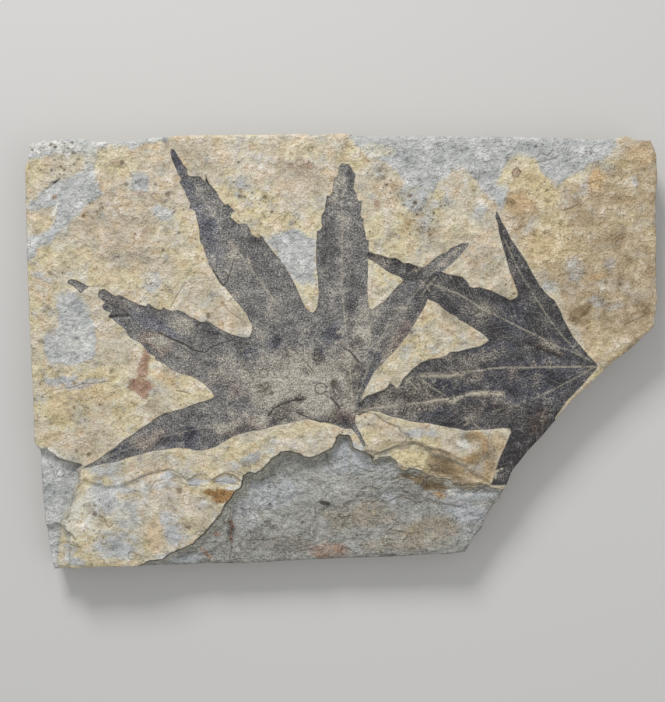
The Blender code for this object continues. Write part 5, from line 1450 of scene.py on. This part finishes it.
def shale_material():
    """Stone and leaf films on the split face, layers on the sides, and plain stone beneath."""
    material = bpy.data.materials.new("shale")
    tree = Tree(material)
    add, times, between, uneven, noise = tree.add, tree.times, tree.between, tree.uneven, tree.noise
    zone = zones(tree)
    lines, steps = crease_lines(tree, zone)
    dotted = dots(tree)
    shades = stone_shades(tree, zone)
    film, side_vein = film_colour(tree)
    surface = tree.mix(zone["leaf"], stone_colour(tree, zone, lines, dotted, shades), film)
    surface = tree.tint(surface, "margin", zone["margin"], 0.42)
    surface = tree.tint(surface, "halo", zone["halo"], 0.2)
    pieces = times(tree.mark("light_line"), between(uneven(small=1.6, fine=1.6), -0.5, 0.05))
    surface = tree.tint(surface, "light line", tree.math("MULTIPLY", pieces, 0.85, clamp=True))
    dark = between(add(tree.mark("dark_line"), uneven(small=0.7, fine=0.3)), 0.12, 0.66)
    line_colour = tree.mix(zone["leaf"], srgb(*TINTS["line on stone"]), srgb(*TINTS["line on film"]))
    surface = tree.mix(times(dark, add(times(zone["leaf"], 0.3), 0.5)), surface, line_colour)
    spot = between(add(tree.mark("spot"), uneven(fine=1.0, small=0.5)), 0.18, 0.62)
    surface = tree.tint(surface, "spot", spot, 0.72)
    blot = between(add(tree.mark("dark_spot"), uneven(small=1.4, fine=1.2)), 0.3, 1.0)
    surface = tree.tint(surface, "blot", blot, 0.85)

    side = tree.mark("side")
    bands = tree.colours(uneven(0.5, layers=1.5, fine=0.7), stops_of(SIDES, 0.1, 0.95))
    surface = tree.mix(between(side, 0.2, 0.9), surface, bands)
    beneath = between(uneven(large=2.0, middle=1.2), -0.1, 0.3)
    surface = tree.mix(between(side, 1.2, 1.9), surface, tree.mix(beneath, shades["floor"], shades["buff"]))
    tree.feed(tree.shader.inputs["Base Color"], surface)
    tree.feed(tree.shader.inputs["Roughness"], tree.math(
        "SUBTRACT", STONE_ROUGHNESS, times(zone["leaf"], FILM_GLOSS)))
    tree.shader.inputs["Specular IOR Level"].default_value = SPECULAR

    # Relief too fine for the mesh, in millimetres
    relief = add(*[times(*parts) for parts in (
        (noise["fine"], 0.4), (noise["small"], 1.45), (noise["mottle"], 1.1), (noise["middle"], 1.2),
        (noise["small"], zone["grey"], 0.3), (noise["wavy"], zone["floor"], 2.6),
        (noise["fine"], zone["floor"], 0.2), (noise["mottle"], zone["floor"], -0.6),
        (noise["stripes"], zone["wall"], 0.9), (steps["layering"], zone["floor"], 0.35),
        (steps["face layering"], 0.05), (steps["lamina"], 0.5), (lines["floor crease"][0], -0.25),
        (lines["tan crease"][0], -0.22), (lines["grey crease"][0], -0.18), (lines["face crease"][0], -0.14),
        (zone["leaf"], -0.15), (dark, -0.2), (dotted, -0.25), (spot, -0.2), (pieces, 0.06),
        (side_vein, zone["leaf"], 0.05),
    )])
    bump = tree.nodes.new("ShaderNodeBump")
    bump.inputs["Strength"].default_value = RELIEF_STRENGTH
    bump.inputs["Distance"].default_value = RELIEF_UNIT
    tree.feed(bump.inputs["Height"], relief)
    tree.feed(tree.shader.inputs["Normal"], bump.outputs[0])
    return material


def make_plate():
    """The plate's one piece, in place of the CAD solid."""
    points, heights, faces, sides = build_mesh()
    data = bpy.data.meshes.new("fossil_plate_stone")
    vertices = np.column_stack([metres(points), np.maximum(heights, 0) / 1000])
    data.from_pydata(vertices.tolist(), [], faces.tolist())
    data.update()
    for name, values in masks(points, sides).items():
        data.attributes.new(name, "FLOAT", "POINT").data.foreach_set("value", values.astype(np.float32))
    data.shade_smooth()
    piece = bpy.data.objects.new("fossil_plate_stone", data)
    bpy.context.scene.collection.objects.link(piece)
    data.materials.append(shale_material())
    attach(piece, "root")
    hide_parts("fossil_plate")
    print("plate triangles", len(data.polygons))


def make_floor():
    """A plain pale floor, wide enough for every view."""
    data = bpy.data.meshes.new("floor")
    corners = [(x * FLOOR_HALF, y * FLOOR_HALF, 0) for x, y in ((-1, -1), (1, -1), (1, 1), (-1, 1))]
    data.from_pydata(corners, [], [(0, 1, 2, 3)])
    floor = bpy.data.objects.new("floor", data)
    bpy.context.scene.collection.objects.link(floor)
    material = bpy.data.materials.new("floor")
    material.use_nodes = True
    shader = material.node_tree.nodes["Principled BSDF"]
    shader.inputs["Base Color"].default_value = FLOOR_COLOUR
    shader.inputs["Roughness"].default_value = FLOOR_ROUGHNESS
    data.materials.append(material)


def make_lights():
    """A key light from the upper left, a weak wide fill from the lower right, and an even pale surround."""
    world = bpy.data.worlds.new("studio")
    bpy.context.scene.world = world
    world.use_nodes = True
    background = world.node_tree.nodes["Background"]
    background.inputs["Color"].default_value = SURROUND_COLOUR
    background.inputs["Strength"].default_value = SURROUND_STRENGTH
    for name, (place, size, energy, spread) in LIGHTS.items():
        light = bpy.data.lights.new(name, "AREA")
        light.size, light.energy, light.spread = size, energy, math.radians(spread)
        lamp = bpy.data.objects.new(name, light)
        lamp.location = place
        lamp.rotation_euler = (Vector(place) - Vector(AIM)).to_track_quat("Z", "Y").to_euler()
        bpy.context.scene.collection.objects.link(lamp)


def make_camera():
    """Straight above, framed as the photograph is, with the picture's long side filling the sensor."""
    camera = bpy.data.objects.new("camera", bpy.data.cameras.new("camera"))
    bpy.context.scene.collection.objects.link(camera)
    camera.data.lens, camera.data.sensor_width = LENS_MM, SENSOR_MM
    aim = metres([(PICTURE_WIDE / 2, PICTURE_HIGH / 2)])[0]
    distance = PICTURE_HIGH * PIXEL / SENSOR_MM * LENS_MM
    camera.location = (aim[0], aim[1], THICKNESS / 1000 + distance)
    camera.data.clip_start, camera.data.clip_end = 0.01, 20
    bpy.context.scene.camera = camera


make_plate()
make_floor()
make_lights()
make_camera()
bpy.context.scene.view_settings.view_transform = "Standard"
